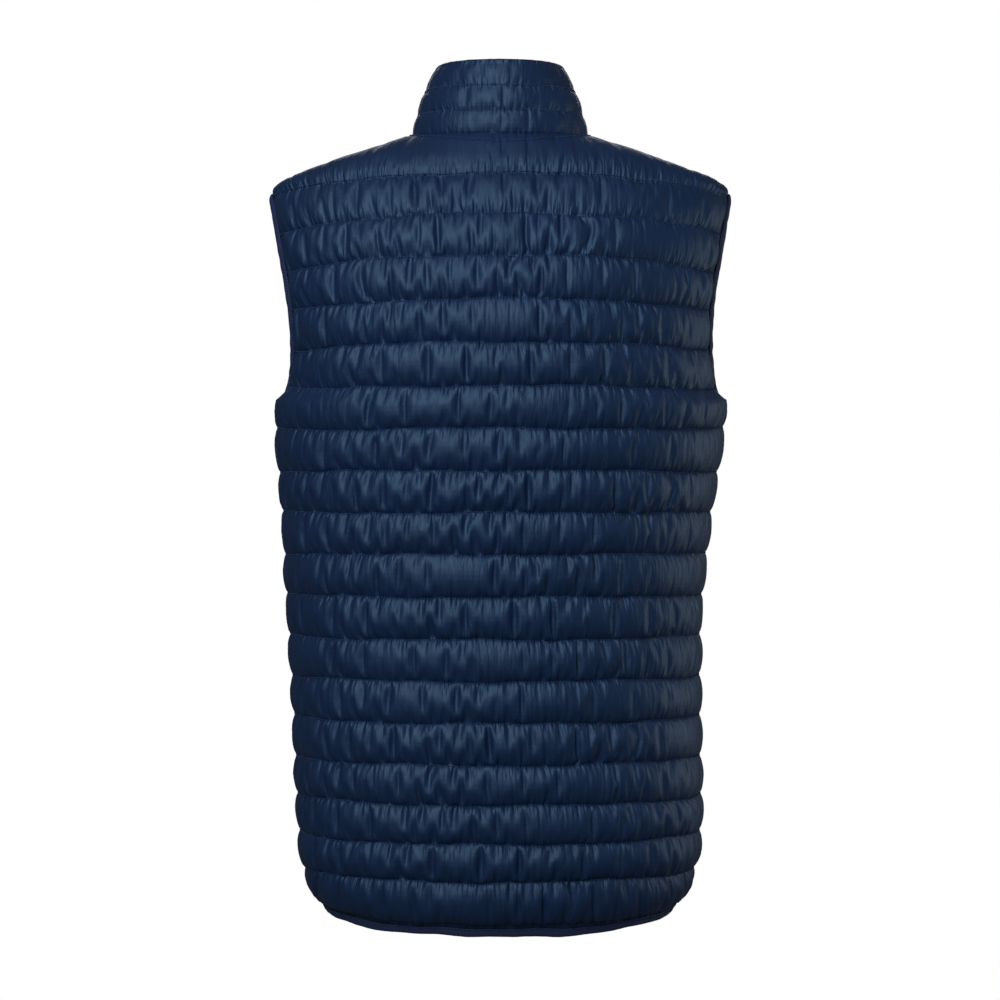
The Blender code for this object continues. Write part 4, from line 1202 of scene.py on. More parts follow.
def binding(name, edge, normals, inward, closed, sizes):
    """A strip of elastic folded over an edge, and the line its stitches follow with that line's normals."""
    if closed:
        edge, normals, inward = (np.concatenate([part, part[:1]]) for part in (edge, normals, inward))
    run = run_of(edge)
    count = round(run[-1] / BINDING_STEP)
    stations = np.linspace(0.0, run[-1], count + 1)[: count if closed else count + 1]
    middle = read_along(edge + normals * EDGE_WALL / 2, run, stations)
    out, guide = read_along(normals, run, stations), read_along(inward, run, stations)
    ahead = np.gradient(middle, axis=0)
    if closed:
        ahead = np.roll(middle, -1, axis=0) - np.roll(middle, 1, axis=0)
    ahead = unit(ahead)
    into = unit(np.cross(unit(out), ahead))
    into *= np.sign(np.sum(into * guide))
    out = unit(out - ahead * np.sum(out * ahead, axis=1, keepdims=True))
    outline = binding_outline(BINDING_GAP + sizes.binding_cloth)
    draws = np.random.default_rng(len(name))
    wave = 1 + BINDING_WAVE * smooth_noise(draws, len(stations), BINDING_STEP, BINDING_PATCH)
    sections = middle[:, None] + outline[None, :, :1] * into[:, None]
    sections = sections + (outline[None, :, 1:] * wave[:, None, None]) * out[:, None]
    around = run_of(np.concatenate([outline, outline[:1]]))[:-1]
    lengths = np.stack(np.meshgrid(stations, around, indexing="ij"), axis=-1)
    piece = swept(name, sections, closed, lengths)
    groove = [row for row in BINDING_PROFILE if row[0] == STITCH_SHARE][0][1]
    height = EDGE_WALL / 2 + (BINDING_GAP + sizes.binding_cloth) * groove
    return piece, middle + into * BINDING_COVER * STITCH_SHARE + out * height, out


def swept(name, sections, closed, lengths):
    """Closed tube through rows of section points."""
    count, corners = sections.shape[:2]
    ids = np.arange(count * corners).reshape(count, corners)
    if closed:
        ids = np.concatenate([ids, ids[:1]])
    turned = np.roll(ids, -1, axis=1)
    faces = np.stack([ids[:-1], turned[:-1], turned[1:], ids[1:]], axis=-1).reshape(-1, 4).tolist()
    if not closed:
        faces += [tuple(ids[0]), tuple(ids[-1])]
    return cloth_object(name, hang(sections.reshape(-1, 3)), faces, lengths.reshape(-1, 2))


def armhole_loop(back, front):
    """Edge of the left armhole, once round from the underarm, with normals and ways into the cloth."""
    parts = []
    for side, panel in (("back", back), ("front", front)):
        rows = np.flatnonzero(panel.grid[:, -1, 2] >= UNDERARM[1] - TOUCH)
        inward = panel.grid[rows, -1 - STRIP_COLUMNS] - panel.grid[rows, -1]
        curve = armhole_curve(side)
        heights = panel.grid[rows, -1, 2]
        guides = [read_along(part, heights, curve[:, 2]) for part in (panel.normals[rows, -1], inward)]
        parts.append((curve, unit(guides[0]), guides[1]))
    return [np.concatenate([a, b[-2:0:-1]]) for a, b in zip(*parts)]


def hem_line(back, front):
    """The hem's edge from one side of the zip round to the other, with its normals and directions in."""
    line = []
    for name in ("grid", "normals"):
        half = np.concatenate([getattr(front, name)[0], getattr(back, name)[0][-2::-1]])
        line.append(np.concatenate([half, half[-2::-1] * TO_THE_RIGHT]))
    return line[0], line[1], np.tile([0.0, 0.0, 1.0], (len(line[0]), 1))


class VEST_OT_bindings(bpy.types.Operator):
    """Makes the elastic bindings of the armholes and hem, with their stitching"""

    bl_idname = "vest.bindings"
    bl_label = "Elastic bindings"

    def execute(self, context):
        sizes, colours = context.scene.vest_sizes, context.scene.vest_colours
        back, front, _, _ = panels(sizes)
        loop = armhole_loop(back, front)
        rows = []
        for side, turn in (("left", np.ones(3)), ("right", TO_THE_RIGHT)):
            name = f"armhole_binding_{side}"
            piece, line, out = binding(f"elastic_{name}", *(part * turn for part in loop), True, sizes)
            finish_piece(piece, elastic(colours), "elastic_binding", BODY, name)
            rows.append((line, out))
        piece, line, out = binding("elastic_hem_binding", *hem_line(back, front), False, sizes)
        finish_piece(piece, elastic(colours), "elastic_binding", BODY, "hem_binding")
        rows.append((line, out))
        sewn = stitches("binding_stitches", rows, sizes)
        finish_piece(sewn, thread(colours), "elastic_binding", BODY)
        return {"FINISHED"}


# Stitching

STITCH_FILL = 0.68
STITCH_SIDES = 5
STITCH_SHOULDER = 0.32
STITCH_DIP = 0.4
STITCH_LOOK = 0.0005
STITCH_LIFT = 0.0005
TOPSTITCH_BELOW = 0.017


def stitch_shape():
    """Points of one stitch, a short bead along X with its ends dipping into the cloth, and its faces."""
    angles = np.arange(STITCH_SIDES) * 2 * math.pi / STITCH_SIDES
    ring = np.stack([np.zeros(STITCH_SIDES), np.cos(angles) / 2, np.sin(angles) / 2], axis=1)
    near, far = ring + [-STITCH_SHOULDER, 0.0, 0.0], ring + [STITCH_SHOULDER, 0.0, 0.0]
    points = np.concatenate([[[-0.5, 0.0, -STITCH_DIP]], near, far, [[0.5, 0.0, -STITCH_DIP]]])
    last = 2 * STITCH_SIDES + 1
    faces = []
    for k in range(STITCH_SIDES):
        after = (k + 1) % STITCH_SIDES
        a, b = 1 + k, 1 + after
        faces += [(0, b, a), (a, b, b + STITCH_SIDES), (a, b + STITCH_SIDES, a + STITCH_SIDES)]
        faces.append((last, a + STITCH_SIDES, b + STITCH_SIDES))
    return points, np.array(faces)


def stitches(name, rows, sizes):
    """Stitches along lines on the cloth, as one mesh. Each row is its points and their normals."""
    shape, shape_faces = stitch_shape()
    points = []
    for line, normals in rows:
        run = run_of(line)
        count = max(1, round(run[-1] / sizes.stitch_pitch))
        places = (np.arange(count) + 0.5) * run[-1] / count
        centres = read_along(line, run, places)
        out = unit(read_along(normals, run, places))
        before, after = (read_along(line, run, places + step) for step in (-STITCH_LOOK, STITCH_LOOK))
        ahead = unit(after - before)
        side = unit(np.cross(out, ahead))
        size = np.array([sizes.stitch_pitch * STITCH_FILL, sizes.thread_width, sizes.thread_width])
        local = shape * size
        axes = np.stack([ahead, side, out], axis=1)
        points.append((centres + out * STITCH_LIFT)[:, None] + np.einsum("vk,nkc->nvc", local, axes))
    points = np.concatenate(points)
    faces = (np.arange(len(points)) * len(shape))[:, None, None] + shape_faces[None]
    return cloth_object(name, hang(points.reshape(-1, 3)), faces.reshape(-1, 3))


def seam_lines(panel, outer):
    """The quilting lines of a panel on its outside, with normals, apart from its top and bottom edges."""
    rows = [j for j in range(1, len(outer) - 1) if panel.places[j] == 0.0 and panel.places[j - 1] > 0.0]
    return [(outer[j], panel.normals[j]) for j in rows]


def line_below(panel, outer, columns, below):
    """A line on the outside at a distance below the panel's top edge."""
    line, out = [], []
    for i in columns:
        column = outer[::-1, i]
        run = run_of(column)
        line.append(read_along(column, run, [below])[0])
        out.append(read_along(panel.normals[::-1, i], run, [below])[0])
    return np.array(line), unit(np.array(out))


class VEST_OT_stitching(bpy.types.Operator):
    """Sews the quilting lines and the topstitched neck seam"""

    bl_idname = "vest.stitching"
    bl_label = "Quilting stitches"

    def execute(self, context):
        sizes, colours = context.scene.vest_sizes, context.scene.vest_colours
        for name, (panel, outer) in _made["skins"].items():
            rows = seam_lines(panel, outer)
            if name == "back":
                neck = round(BACK_COLUMNS * BACK_NECK_SHARE)
                centre = outer.shape[1] // 2
                columns = range(centre - neck, centre + neck + 1)
                rows.append(line_below(panel, outer, columns, TOPSTITCH_BELOW))
            finish_piece(stitches(f"{name}_stitches", rows, sizes), thread(colours), "quilted_shell", BODY)
        return {"FINISHED"}


# The zip

TOOTH_INNER = -0.0005
TOOTH_BEVEL = 0.00025
TOOTH_FILL = 0.46
TOOTH_LIFT = 0.0001
TAPE_STEP = 0.004
SHEET_THICKNESS = 0.0007
METAL_BEVEL = 0.0003
PULL_STEP = 0.0001
BAR_SIDES = 16
ZIP_BESIDE = 3
CHAIN_INTO_SLIDER = 0.3


def zip_line(sizes):
    """Points up the zip's edge from its foot to the collar's top, the next points in, and their normals."""
    _, front, collar, neck_row = panels(sizes)
    first = int(np.flatnonzero((front.baffles == 0) & (front.places >= ZIP_FIRST_SHARE))[0])
    low, high = front.places[first - 1], front.places[first]
    t = (ZIP_FIRST_SHARE - low) / (high - low)
    parts = []
    for name in ("grid", "normals"):
        up, over = getattr(front, name), getattr(collar, name)
        for beside in (0, ZIP_BESIDE):
            foot = up[first - 1, beside] * (1 - t) + up[first, beside] * t
            body = up[first : neck_row + 1, beside]
            parts.append(np.concatenate([foot[None], body, over[1:, -1 - beside]]))
    return parts, run_of(parts[0])


def to_middle(points):
    """Points moved across to the middle plane."""
    return points * np.array([0.0, 1.0, 1.0])


def zip_frames(parts, run, places):
    """Places on the middle of the zip with axes across it, out of the cloth and up along it."""
    centre = read_along(to_middle(parts[0]), run, places)
    out = unit(read_along(to_middle(parts[2]), run, places))
    step = SLIDER_HALF_LENGTH / 2
    ahead = unit(
        read_along(to_middle(parts[0]), run, np.minimum(places + step, run[-1]))
        - read_along(to_middle(parts[0]), run, np.maximum(places - step, 0.0)))
    out = unit(out - ahead * np.sum(out * ahead, axis=1, keepdims=True))
    return centre, np.stack([np.cross(out, ahead), out, ahead], axis=1)


def zip_places(run):
    """Distances up the zip of its teeth's start and end, and of its slider."""
    slider = run[-1] - SLIDER_BELOW_TOP
    return ZIP_BOX_LENGTH + SEAM_GAP, slider - SLIDER_HALF_LENGTH * CHAIN_INTO_SLIDER, slider


class VEST_OT_zip_tapes(bpy.types.Operator):
    """Makes the two woven zip tapes"""

    bl_idname = "vest.zip_tapes"
    bl_label = "Zip tapes"

    def execute(self, context):
        sizes, colours = context.scene.vest_sizes, context.scene.vest_colours
        parts, run = zip_line(sizes)
        _, _, slider = zip_places(run)
        end = run[-1] - TAPE_END_GAP
        stations = np.linspace(0.0, end, round(end / TAPE_STEP))
        edge, beside, normal, beside_normal = (read_along(part, run, stations) for part in parts)
        inset = np.where(stations < slider, TAPE_MIDDLE_GAP, TAPE_POST_GAP)[:, None]
        middle = to_middle(edge) + inset * np.array([1.0, 0.0, 0.0])
        middle_normal, normal, beside_normal = unit(to_middle(normal)), unit(normal), unit(beside_normal)
        lap = edge + unit(beside - edge) * TAPE_UNDERLAP
        near, far = TAPE_GAP, TAPE_GAP + SHEET_THICKNESS
        sections = np.stack([
            middle - middle_normal * near,
            edge - normal * near,
            lap - beside_normal * (near + TAPE_GAP),
            lap - beside_normal * (far + TAPE_GAP),
            edge - normal * far,
            middle - middle_normal * far,
        ], axis=1)
        bare = ZIP_HALF_GAP - TAPE_MIDDLE_GAP
        width = bare + TAPE_UNDERLAP
        across = np.array([0.0, bare, width, width, bare, 0.0])
        lengths = np.stack(np.meshgrid(stations, across, indexing="ij")[::-1], axis=-1)
        for side, turn in (("left", np.ones(3)), ("right", TO_THE_RIGHT)):
            piece = swept(f"woven_zip_tape_{side}", sections * turn, False, lengths)
            finish_piece(piece, woven_tape(colours), "zip_tape", BODY, f"zip_tape_{side}")
        return {"FINISHED"}


def modelled_boxes(name, boxes, bevel, segments=2):
    """Boxes added in edit mode as one mesh, with all their edges bevelled."""
    bpy.ops.object.select_all(action="DESELECT")
    bpy.ops.mesh.primitive_cube_add(size=1.0)
    piece = bpy.context.object
    piece.name = name
    bpy.ops.object.mode_set(mode="EDIT")
    bpy.ops.mesh.delete(type="VERT")
    for low, high in boxes:
        middle = [(a + b) / 2 for a, b in zip(low, high)]
        bpy.ops.mesh.select_all(action="DESELECT")
        bpy.ops.mesh.primitive_cube_add(size=1.0, location=middle)
        reach = [b - a for a, b in zip(low, high)]
        bpy.ops.transform.resize(value=reach, center_override=middle)
    bpy.ops.mesh.select_all(action="SELECT")
    bpy.ops.mesh.bevel(offset=bevel, segments=segments, affect="EDGES", clamp_overlap=True)
    bpy.ops.object.mode_set(mode="OBJECT")
    bpy.ops.object.shade_smooth_by_angle(angle=HARD_SHARP_ANGLE)
    return piece


def set_in_place(piece, centre, axes):
    """Moves a modelled piece's points into a frame on the zip."""
    place = Matrix(axes.T.tolist()).to_4x4()
    place.translation = Vector(centre)
    piece.data.transform(place)
    return piece


class VEST_OT_zip_teeth(bpy.types.Operator):
    """Makes the two meshed rows of zip teeth"""

    bl_idname = "vest.zip_teeth"
    bl_label = "Zip teeth"

    def execute(self, context):
        sizes, colours = context.scene.vest_sizes, context.scene.vest_colours
        parts, run = zip_line(sizes)
        begin, end, _ = zip_places(run)
        half = sizes.tooth_pitch * TOOTH_FILL / 2
        low = (TOOTH_INNER, TOOTH_LIFT, -half)
        high = (CHAIN_HALF_WIDTH, CHAIN_THICKNESS, half)
        tooth = modelled_boxes("tooth", [(low, high)], TOOTH_BEVEL, 1)
        shape = np.array([v.co for v in tooth.data.vertices])
        shape_faces = [tuple(face.vertices) for face in tooth.data.polygons]
        bpy.data.objects.remove(tooth)
        points, faces = [], []
        count = int((end - begin - sizes.tooth_pitch) / sizes.tooth_pitch)
        for side, shift in ((1.0, 0.5), (-1.0, 1.0)):
            places = begin + (np.arange(count) + shift) * sizes.tooth_pitch
            centres, axes = zip_frames(parts, run, places)
            local = shape * np.array([side, 1.0, 1.0])
            first = sum(len(p) for p in points)
            points.append((centres[:, None] + np.einsum("vk,nkc->nvc", local, axes)).reshape(-1, 3))
            for n in range(count):
                faces += [tuple(first + n * len(shape) + v for v in face) for face in shape_faces]
        piece = cloth_object("zip_teeth", np.concatenate(points), faces)
        finish_piece(piece, resin(colours), "zip_teeth", BODY, "zip_chain")
        return {"FINISHED"}


class VEST_OT_zip_slider(bpy.types.Operator):
    """Makes the zip slider and the box at the zip's foot"""

    bl_idname = "vest.zip_slider"
    bl_label = "Zip slider and box"

    def execute(self, context):
        sizes, colours = context.scene.vest_sizes, context.scene.vest_colours
        parts, run = zip_line(sizes)
        _, _, slider = zip_places(run)
        front_low = CHAIN_THICKNESS + SEAM_GAP
        front_high = front_low + SLIDER_PLATE
        back_high = -(TAPE_GAP + TAPE_THICKNESS + SEAM_GAP)
        back_low = back_high - SLIDER_PLATE
        sunk = SLIDER_PLATE / 3
        top = front_high + BRIDGE_CLEAR + BRIDGE_BEAM
        wide, bridge = SLIDER_HALF_WIDTH, BRIDGE_HALF_WIDTH
        long, leg = BRIDGE_HALF_LENGTH, BRIDGE_HALF_LENGTH - BRIDGE_BEAM
        boxes = [
            ((-wide, front_low, -SLIDER_HALF_LENGTH), (wide, front_high, SLIDER_HALF_LENGTH)),
            ((-wide, back_low, -SLIDER_HALF_LENGTH), (wide, back_high, SLIDER_HALF_LENGTH)),
            ((-POST_HALF_WIDTH, back_high - sunk, POST_LOW), (POST_HALF_WIDTH, front_low + sunk, POST_HIGH)),
            ((-bridge, front_high - sunk, -long), (bridge, top, -leg)),
            ((-bridge, front_high - sunk, leg), (bridge, top, long)),
            ((-bridge, top - BRIDGE_BEAM, -long), (bridge, top, long)),
        ]
        centres, axes = zip_frames(parts, run, np.array([slider, 0.0]))
        body = modelled_boxes("painted_slider", boxes, METAL_BEVEL)
        body = set_in_place(body, hinge_foot(axes[0]), axes[0])
        finish_piece(body, painted(colours), "zip_metal", BODY, "zip_slider")
        foot = [((-ZIP_BOX_HALF_WIDTH, 0.0, 0.0), (ZIP_BOX_HALF_WIDTH, ZIP_BOX_THICKNESS, ZIP_BOX_LENGTH))]
        box = set_in_place(modelled_boxes("moulded_zip_box", foot, 2 * METAL_BEVEL), centres[1], axes[1])
        finish_piece(box, resin(colours), "zip_teeth", BODY, "zip_box")
        return {"FINISHED"}


def bar_height():
    """Height of the pull's bar over the tape's outer face."""
    return CHAIN_THICKNESS + SEAM_GAP + SLIDER_PLATE + BRIDGE_CLEAR / 2


def hinge_point():
    """Middle of the pull's bar, from the joint it turns about."""
    return np.array(frame["joints"][0]["pos_m"])


def hinge_foot(axes):
    """The slider's own middle, below the bar."""
    return hinge_point() - axes[1] * bar_height()


class VEST_OT_zip_pull(bpy.types.Operator):
    """Makes the zip pull on its bar"""

    bl_idname = "vest.zip_pull"
    bl_label = "Zip pull"

    def execute(self, context):
        sizes, colours = context.scene.vest_sizes, context.scene.vest_colours
        parts, run = zip_line(sizes)
        _, axes = zip_frames(parts, run, np.array([zip_places(run)[2]]))
        wide, inside, thick = PULL_HALF_WIDTH, PULL_WINDOW_HALF, PULL_HALF_THICKNESS
        rim = wide - inside
        arm_wide, arm_thick = wide - PULL_STEP, thick - PULL_STEP
        boxes = [
            ((-wide, -thick, -PULL_LENGTH), (wide, thick, -PULL_WINDOW_LENGTH)),
            ((-arm_wide, -arm_thick, -PULL_WINDOW_LENGTH - rim), (-inside, arm_thick, PULL_ARM_TOP)),
            ((inside, -arm_thick, -PULL_WINDOW_LENGTH - rim), (arm_wide, arm_thick, PULL_ARM_TOP)),
        ]
        pull = modelled_boxes("painted_pull", boxes, METAL_BEVEL)
        bpy.ops.object.mode_set(mode="EDIT")
        bpy.ops.mesh.select_all(action="DESELECT")
        bpy.ops.mesh.primitive_cylinder_add(
            vertices=BAR_SIDES, radius=BAR_RADIUS, depth=2 * wide - rim, rotation=(0.0, math.pi / 2, 0.0))
        bpy.ops.object.mode_set(mode="OBJECT")
        bpy.ops.object.shade_smooth_by_angle(angle=HARD_SHARP_ANGLE)
        set_in_place(pull, hinge_point(), axes[0])
        finish_piece(pull, painted(colours), "zip_metal", PULL_BODY, "zip_pull")
        return {"FINISHED"}


# Materials


def add_node(tree, kind, links=None, **settings):
    """Adds a node, sets its attributes and input values, and links sockets into it."""
    node = tree.nodes.new(kind)
    for name, value in settings.items():
        setattr(node, name, value)
    for name, value in (links or {}).items():
        if isinstance(value, bpy.types.NodeSocket):
            tree.links.new(value, node.inputs[name])
        else:
            node.inputs[name].default_value = value
    return node


def new_material(name):
    """An empty material with its shader, or the one already made."""
    if name in bpy.data.materials:
        return bpy.data.materials[name], None, None
    made = bpy.data.materials.new(name)
    made.use_nodes = True
    return made, made.node_tree, made.node_tree.nodes["Principled BSDF"]


def shade(colour, factor):
    return tuple(min(1.0, c * factor) for c in colour[:3]) + (1.0,)


def nylon(colours):
    """Fine nylon taffeta, pressed between hot rollers: a soft broad shine broken by fine crinkles."""
    made, tree, shader = new_material("calendered nylon taffeta")
    if tree is None:
        return made
    lengths = add_node(tree, "ShaderNodeTexCoord").outputs["UV"]
    crinkle_mm, crinkle_long_mm, cloud_mm = 3.2, 16.0, 45.0
    fine = add_node(tree, "ShaderNodeMapping", {
        "Vector": lengths, "Scale": (1000 / crinkle_mm, 1000 / crinkle_long_mm, 1.0)})
    crinkles = add_node(tree, "ShaderNodeTexNoise", {
        "Vector": fine.outputs[0], "Scale": 1.0, "Detail": 3.0, "Roughness": 0.55})
    broad = add_node(tree, "ShaderNodeMapping", {"Vector": lengths, "Scale": (1000 / cloud_mm,) * 3})
    clouds = add_node(tree, "ShaderNodeTexNoise", {"Vector": broad.outputs[0], "Scale": 1.0, "Detail": 2.0})
    tint = add_node(tree, "ShaderNodeValToRGB", {"Fac": clouds.outputs["Fac"]})
    tint.color_ramp.elements[0].position = 0.3
    tint.color_ramp.elements[0].color = shade(colours.shell, 0.92)
    tint.color_ramp.elements[1].position = 0.7
    tint.color_ramp.elements[1].color = shade(colours.shell, 1.08)
    polish = add_node(tree, "ShaderNodeMapRange", {
        "Value": crinkles.outputs["Fac"], "From Min": 0.3, "From Max": 0.7, "To Min": 0.47, "To Max": 0.57})
    tuck_mm, tuck_long_mm = 4.2, 18.0
    drawn = add_node(tree, "ShaderNodeMapping", {
        "Vector": lengths, "Scale": (1000 / tuck_mm, 1000 / tuck_long_mm, 1.0)})
    tucks = add_node(tree, "ShaderNodeTexNoise", {
        "Vector": drawn.outputs[0], "Scale": 1.0, "Detail": 1.0})
    near = add_node(tree, "ShaderNodeAttribute", attribute_name="tucks")
    drawn_up = add_node(tree, "ShaderNodeMath", {
        0: tucks.outputs["Fac"], 1: near.outputs["Fac"]}, operation="MULTIPLY")
    gathers = add_node(tree, "ShaderNodeBump", {
        "Height": drawn_up.outputs[0], "Strength": 1.0, "Distance": 0.0045})
    relief = add_node(tree, "ShaderNodeBump", {
        "Height": crinkles.outputs["Fac"], "Normal": gathers.outputs[0],
        "Strength": 0.6, "Distance": 0.0009})
    tree.links.new(tint.outputs["Color"], shader.inputs["Base Color"])
    tree.links.new(polish.outputs[0], shader.inputs["Roughness"])
    tree.links.new(relief.outputs[0], shader.inputs["Normal"])
    shader.inputs["IOR"].default_value = 1.56
    shader.inputs["Specular Tint"].default_value = (0.42, 0.72, 1.0, 1.0)
    shader.inputs["Sheen Weight"].default_value = 0.06
    shader.inputs["Sheen Roughness"].default_value = 0.4
    shader.inputs["Sheen Tint"].default_value = shade(colours.shell, 4.0)
    return made


def elastic(colours):
    """Knitted elastic, dull and dark, with fine ribs along it that catch a little light."""
    made, tree, shader = new_material("knitted elastic")
    if tree is None:
        return made
    lengths = add_node(tree, "ShaderNodeTexCoord").outputs["UV"]
    rib_mm, knit_mm = 1.0, 0.9
    stretched = add_node(tree, "ShaderNodeMapping", {
        "Vector": lengths, "Scale": (1000 / knit_mm, 1000 / rib_mm, 1.0)})
    knit = add_node(tree, "ShaderNodeTexNoise", {
        "Vector": stretched.outputs[0], "Scale": 1.0, "Detail": 2.0})
    tint = add_node(tree, "ShaderNodeValToRGB", {"Fac": knit.outputs["Fac"]})
    tint.color_ramp.elements[0].position = 0.3
    tint.color_ramp.elements[0].color = shade(colours.binding, 0.8)
    tint.color_ramp.elements[1].position = 0.7
    tint.color_ramp.elements[1].color = shade(colours.binding, 1.2)
    relief = add_node(tree, "ShaderNodeBump", {
        "Height": knit.outputs["Fac"], "Strength": 0.6, "Distance": 0.0003})
    tree.links.new(tint.outputs["Color"], shader.inputs["Base Color"])
    tree.links.new(relief.outputs[0], shader.inputs["Normal"])
    shader.inputs["Roughness"].default_value = 0.72
    shader.inputs["Sheen Weight"].default_value = 0.25
    shader.inputs["Sheen Tint"].default_value = shade(colours.binding, 5.0)
    return made


def woven_tape(colours):
    """Woven polyester tape, matte, with a fine twill drawn coarse enough to show."""
    made, tree, shader = new_material("woven polyester tape")
    if tree is None:
        return made
    lengths = add_node(tree, "ShaderNodeTexCoord").outputs["UV"]
    twill_mm = 0.8
    scaled = add_node(tree, "ShaderNodeMapping", {"Vector": lengths, "Scale": (1000 / twill_mm,) * 3})
    twill = add_node(tree, "ShaderNodeTexWave", {
        "Vector": scaled.outputs[0], "Scale": 0.3, "Distortion": 0.4}, bands_direction="DIAGONAL")
    tint = add_node(tree, "ShaderNodeValToRGB", {"Fac": twill.outputs["Fac"]})
    tint.color_ramp.elements[0].color = shade(colours.tape, 0.75)
    tint.color_ramp.elements[1].color = shade(colours.tape, 1.2)
    relief = add_node(tree, "ShaderNodeBump", {
        "Height": twill.outputs["Fac"], "Strength": 0.5, "Distance": 0.0002})
    tree.links.new(tint.outputs["Color"], shader.inputs["Base Color"])
    tree.links.new(relief.outputs[0], shader.inputs["Normal"])
    shader.inputs["Roughness"].default_value = 0.8
    return made


def thread(colours):
    """Spun polyester thread: matte; its colour is a shade lighter than the cloth, a painted highlight, so
    that the stitches read as dots.
    """
    made, tree, shader = new_material("spun polyester thread")
    if tree is None:
        return made
    place = add_node(tree, "ShaderNodeTexCoord").outputs["Object"]
    fibre_mm = 0.6
    fibres = add_node(tree, "ShaderNodeTexNoise", {
        "Vector": place, "Scale": 1000 / fibre_mm, "Detail": 1.0})
    tint = add_node(tree, "ShaderNodeValToRGB", {"Fac": fibres.outputs["Fac"]})
    tint.color_ramp.elements[0].color = shade(colours.thread, 0.7)
    tint.color_ramp.elements[1].color = shade(colours.thread, 1.3)
    tree.links.new(tint.outputs["Color"], shader.inputs["Base Color"])
    shader.inputs["Roughness"].default_value = 0.65
    shader.inputs["Specular IOR Level"].default_value = 0.2
    return made


def resin(colours):
    """Moulded acetal, satin, with the slight mottle of a moulded face."""
    made, tree, shader = new_material("moulded acetal")
    if tree is None:
        return made
    place = add_node(tree, "ShaderNodeTexCoord").outputs["Object"]
    mottle_mm = 2.0
    mottle = add_node(tree, "ShaderNodeTexNoise", {
        "Vector": place, "Scale": 1000 / mottle_mm, "Detail": 2.0})
    tint = add_node(tree, "ShaderNodeValToRGB", {"Fac": mottle.outputs["Fac"]})
    tint.color_ramp.elements[0].color = shade(colours.teeth, 0.85)
    tint.color_ramp.elements[1].color = shade(colours.teeth, 1.15)
    tree.links.new(tint.outputs["Color"], shader.inputs["Base Color"])
    shader.inputs["Roughness"].default_value = 0.42
    return made


def painted(colours):
    """Enamelled zinc: a thin satin paint with tiny wear in its gloss."""
    made, tree, shader = new_material("enamelled zinc")
    if tree is None:
        return made
    place = add_node(tree, "ShaderNodeTexCoord").outputs["Object"]
    wear_mm = 1.5
    wear = add_node(tree, "ShaderNodeTexNoise", {"Vector": place, "Scale": 1000 / wear_mm, "Detail": 3.0})
    tint = add_node(tree, "ShaderNodeValToRGB", {"Fac": wear.outputs["Fac"]})
    tint.color_ramp.elements[0].color = shade(colours.metal, 0.85)
    tint.color_ramp.elements[1].color = shade(colours.metal, 1.15)
    gloss = add_node(tree, "ShaderNodeMapRange", {
        "Value": wear.outputs["Fac"], "To Min": 0.25, "To Max": 0.45})
    tree.links.new(tint.outputs["Color"], shader.inputs["Base Color"])
    tree.links.new(gloss.outputs[0], shader.inputs["Roughness"])
    shader.inputs["Coat Weight"].default_value = 0.4
    return made


# The stage

CAMERA_AT = (0.0, 2.43, -0.324)
CAMERA_LENS = 98.0
CAMERA_SENSOR = 36.0
FLOOR_Z = -1.2
FLOOR_GLOW = 0.35
FLOOR_HALF = 2.0
FLOOR_GRAIN = 60.0
FLOOR_GRAIN_STRENGTH = 0.07
ROOM_LIGHT = 0.075
LAMPS = [
    # name, place, target, size, power
    ("key", (0.75, 2.15, 0.72), (0.0, 0.0, -0.35), 1.9, 45.0),
    ("top", (0.2, 1.0, 1.5), (0.0, 0.0, -0.10), 1.0, 7.0),
    ("fill", (-2.1, -0.3, -0.3), (0.0, 0.0, -0.40), 1.3, 9.0),
    ("front", (0.0, -2.2, 0.3), (0.0, 0.0, -0.35), 1.6, 22.0),
]


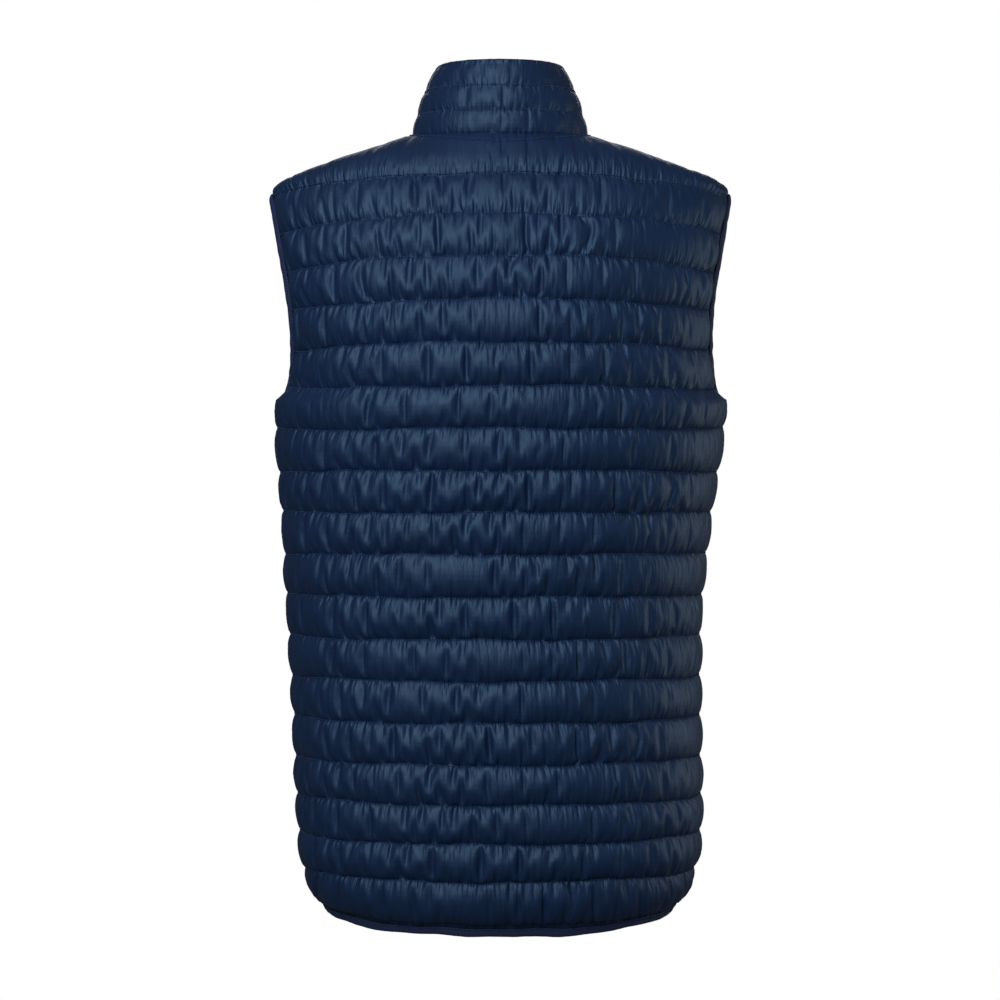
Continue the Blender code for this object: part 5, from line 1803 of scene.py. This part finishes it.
class VEST_OT_stage(bpy.types.Operator):
    """Makes the floor, the soft studio light and the camera"""

    bl_idname = "vest.stage"
    bl_label = "Stage"

    def execute(self, context):
        colours = context.scene.vest_colours
        bpy.ops.object.select_all(action="DESELECT")
        bpy.ops.mesh.primitive_plane_add(size=2 * FLOOR_HALF, location=(0.0, 0.0, FLOOR_Z))
        floor = context.object
        floor.name = "floor"
        bpy.ops.object.transform_apply(location=True)
        matte, tree, shader = new_material("matte studio paint")
        spot = add_node(tree, "ShaderNodeTexCoord").outputs["Object"]
        grain = add_node(tree, "ShaderNodeTexNoise", {"Vector": spot, "Scale": FLOOR_GRAIN, "Detail": 3.0})
        relief = add_node(tree, "ShaderNodeBump", {
            "Height": grain.outputs["Fac"], "Strength": FLOOR_GRAIN_STRENGTH})
        tree.links.new(relief.outputs[0], shader.inputs["Normal"])
        shader.inputs["Base Color"].default_value = shade(colours.floor, 1.0)
        shader.inputs["Roughness"].default_value = 0.8
        shader.inputs["Emission Color"].default_value = shade(colours.floor, 1.0)
        shader.inputs["Emission Strength"].default_value = FLOOR_GLOW
        floor.data.materials.append(matte)
        # The floor is seen but throws no light up into the folds
        floor.visible_diffuse = False
        floor.visible_glossy = False
        for name, place, target, size, power in LAMPS:
            light = bpy.data.lights.new(name, "AREA")
            light.energy = power
            light.size = size
            lamp = bpy.data.objects.new(name, light)
            lamp.location = place
            lamp.rotation_euler = (Vector(target) - Vector(place)).to_track_quat("-Z", "Y").to_euler()
            context.collection.objects.link(lamp)
        world = bpy.data.worlds.new("white studio")
        world.use_nodes = True
        tree = world.node_tree
        tree.nodes.clear()
        room = add_node(tree, "ShaderNodeBackground", {"Color": (1.0, 1.0, 1.0, 1.0), "Strength": ROOM_LIGHT})
        seen = add_node(tree, "ShaderNodeBackground", {"Color": (1.0, 1.0, 1.0, 1.0), "Strength": 1.0})
        rays = add_node(tree, "ShaderNodeLightPath")
        mixed = add_node(tree, "ShaderNodeMixShader", {"Fac": rays.outputs["Is Camera Ray"]})
        tree.links.new(room.outputs[0], mixed.inputs[1])
        tree.links.new(seen.outputs[0], mixed.inputs[2])
        output = add_node(tree, "ShaderNodeOutputWorld")
        tree.links.new(mixed.outputs[0], output.inputs["Surface"])
        context.scene.world = world
        context.scene.view_settings.view_transform = "Standard"
        lens = bpy.data.cameras.new("camera")
        lens.lens = CAMERA_LENS
        lens.sensor_width = CAMERA_SENSOR
        camera = bpy.data.objects.new("camera", lens)
        camera.location = CAMERA_AT
        camera.rotation_euler = (math.pi / 2, 0.0, math.pi)
        context.collection.objects.link(camera)
        context.scene.camera = camera
        return {"FINISHED"}


class VIEW3D_PT_vest(bpy.types.Panel):
    """Lists the pieces of the vest"""

    bl_label = "Quilted vest"
    bl_space_type = "VIEW_3D"
    bl_region_type = "UI"
    bl_category = "Vest"

    def draw(self, context):
        for group in (context.scene.vest_sizes, context.scene.vest_colours):
            for name in group.__annotations__:
                self.layout.prop(group, name)
        for maker in MAKERS:
            self.layout.operator(maker.bl_idname)


MAKERS = (
    VEST_OT_stage,
    VEST_OT_back,
    VEST_OT_fronts,
    VEST_OT_collar,
    VEST_OT_bindings,
    VEST_OT_stitching,
    VEST_OT_zip_tapes,
    VEST_OT_zip_teeth,
    VEST_OT_zip_slider,
    VEST_OT_zip_pull,
)
CLASSES = (VestSizes, VestColours) + MAKERS + (VIEW3D_PT_vest,)


def register():
    for cls in CLASSES:
        bpy.utils.register_class(cls)
    bpy.types.Scene.vest_sizes = bpy.props.PointerProperty(type=VestSizes)
    bpy.types.Scene.vest_colours = bpy.props.PointerProperty(type=VestColours)


def unregister():
    del bpy.types.Scene.vest_sizes
    del bpy.types.Scene.vest_colours
    for cls in reversed(CLASSES):
        bpy.utils.unregister_class(cls)


def main():
    register()
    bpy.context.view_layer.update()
    for maker in MAKERS:
        group, name = maker.bl_idname.split(".")
        getattr(getattr(bpy.ops, group), name)()
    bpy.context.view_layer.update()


if __name__ == "__main__":
    main()
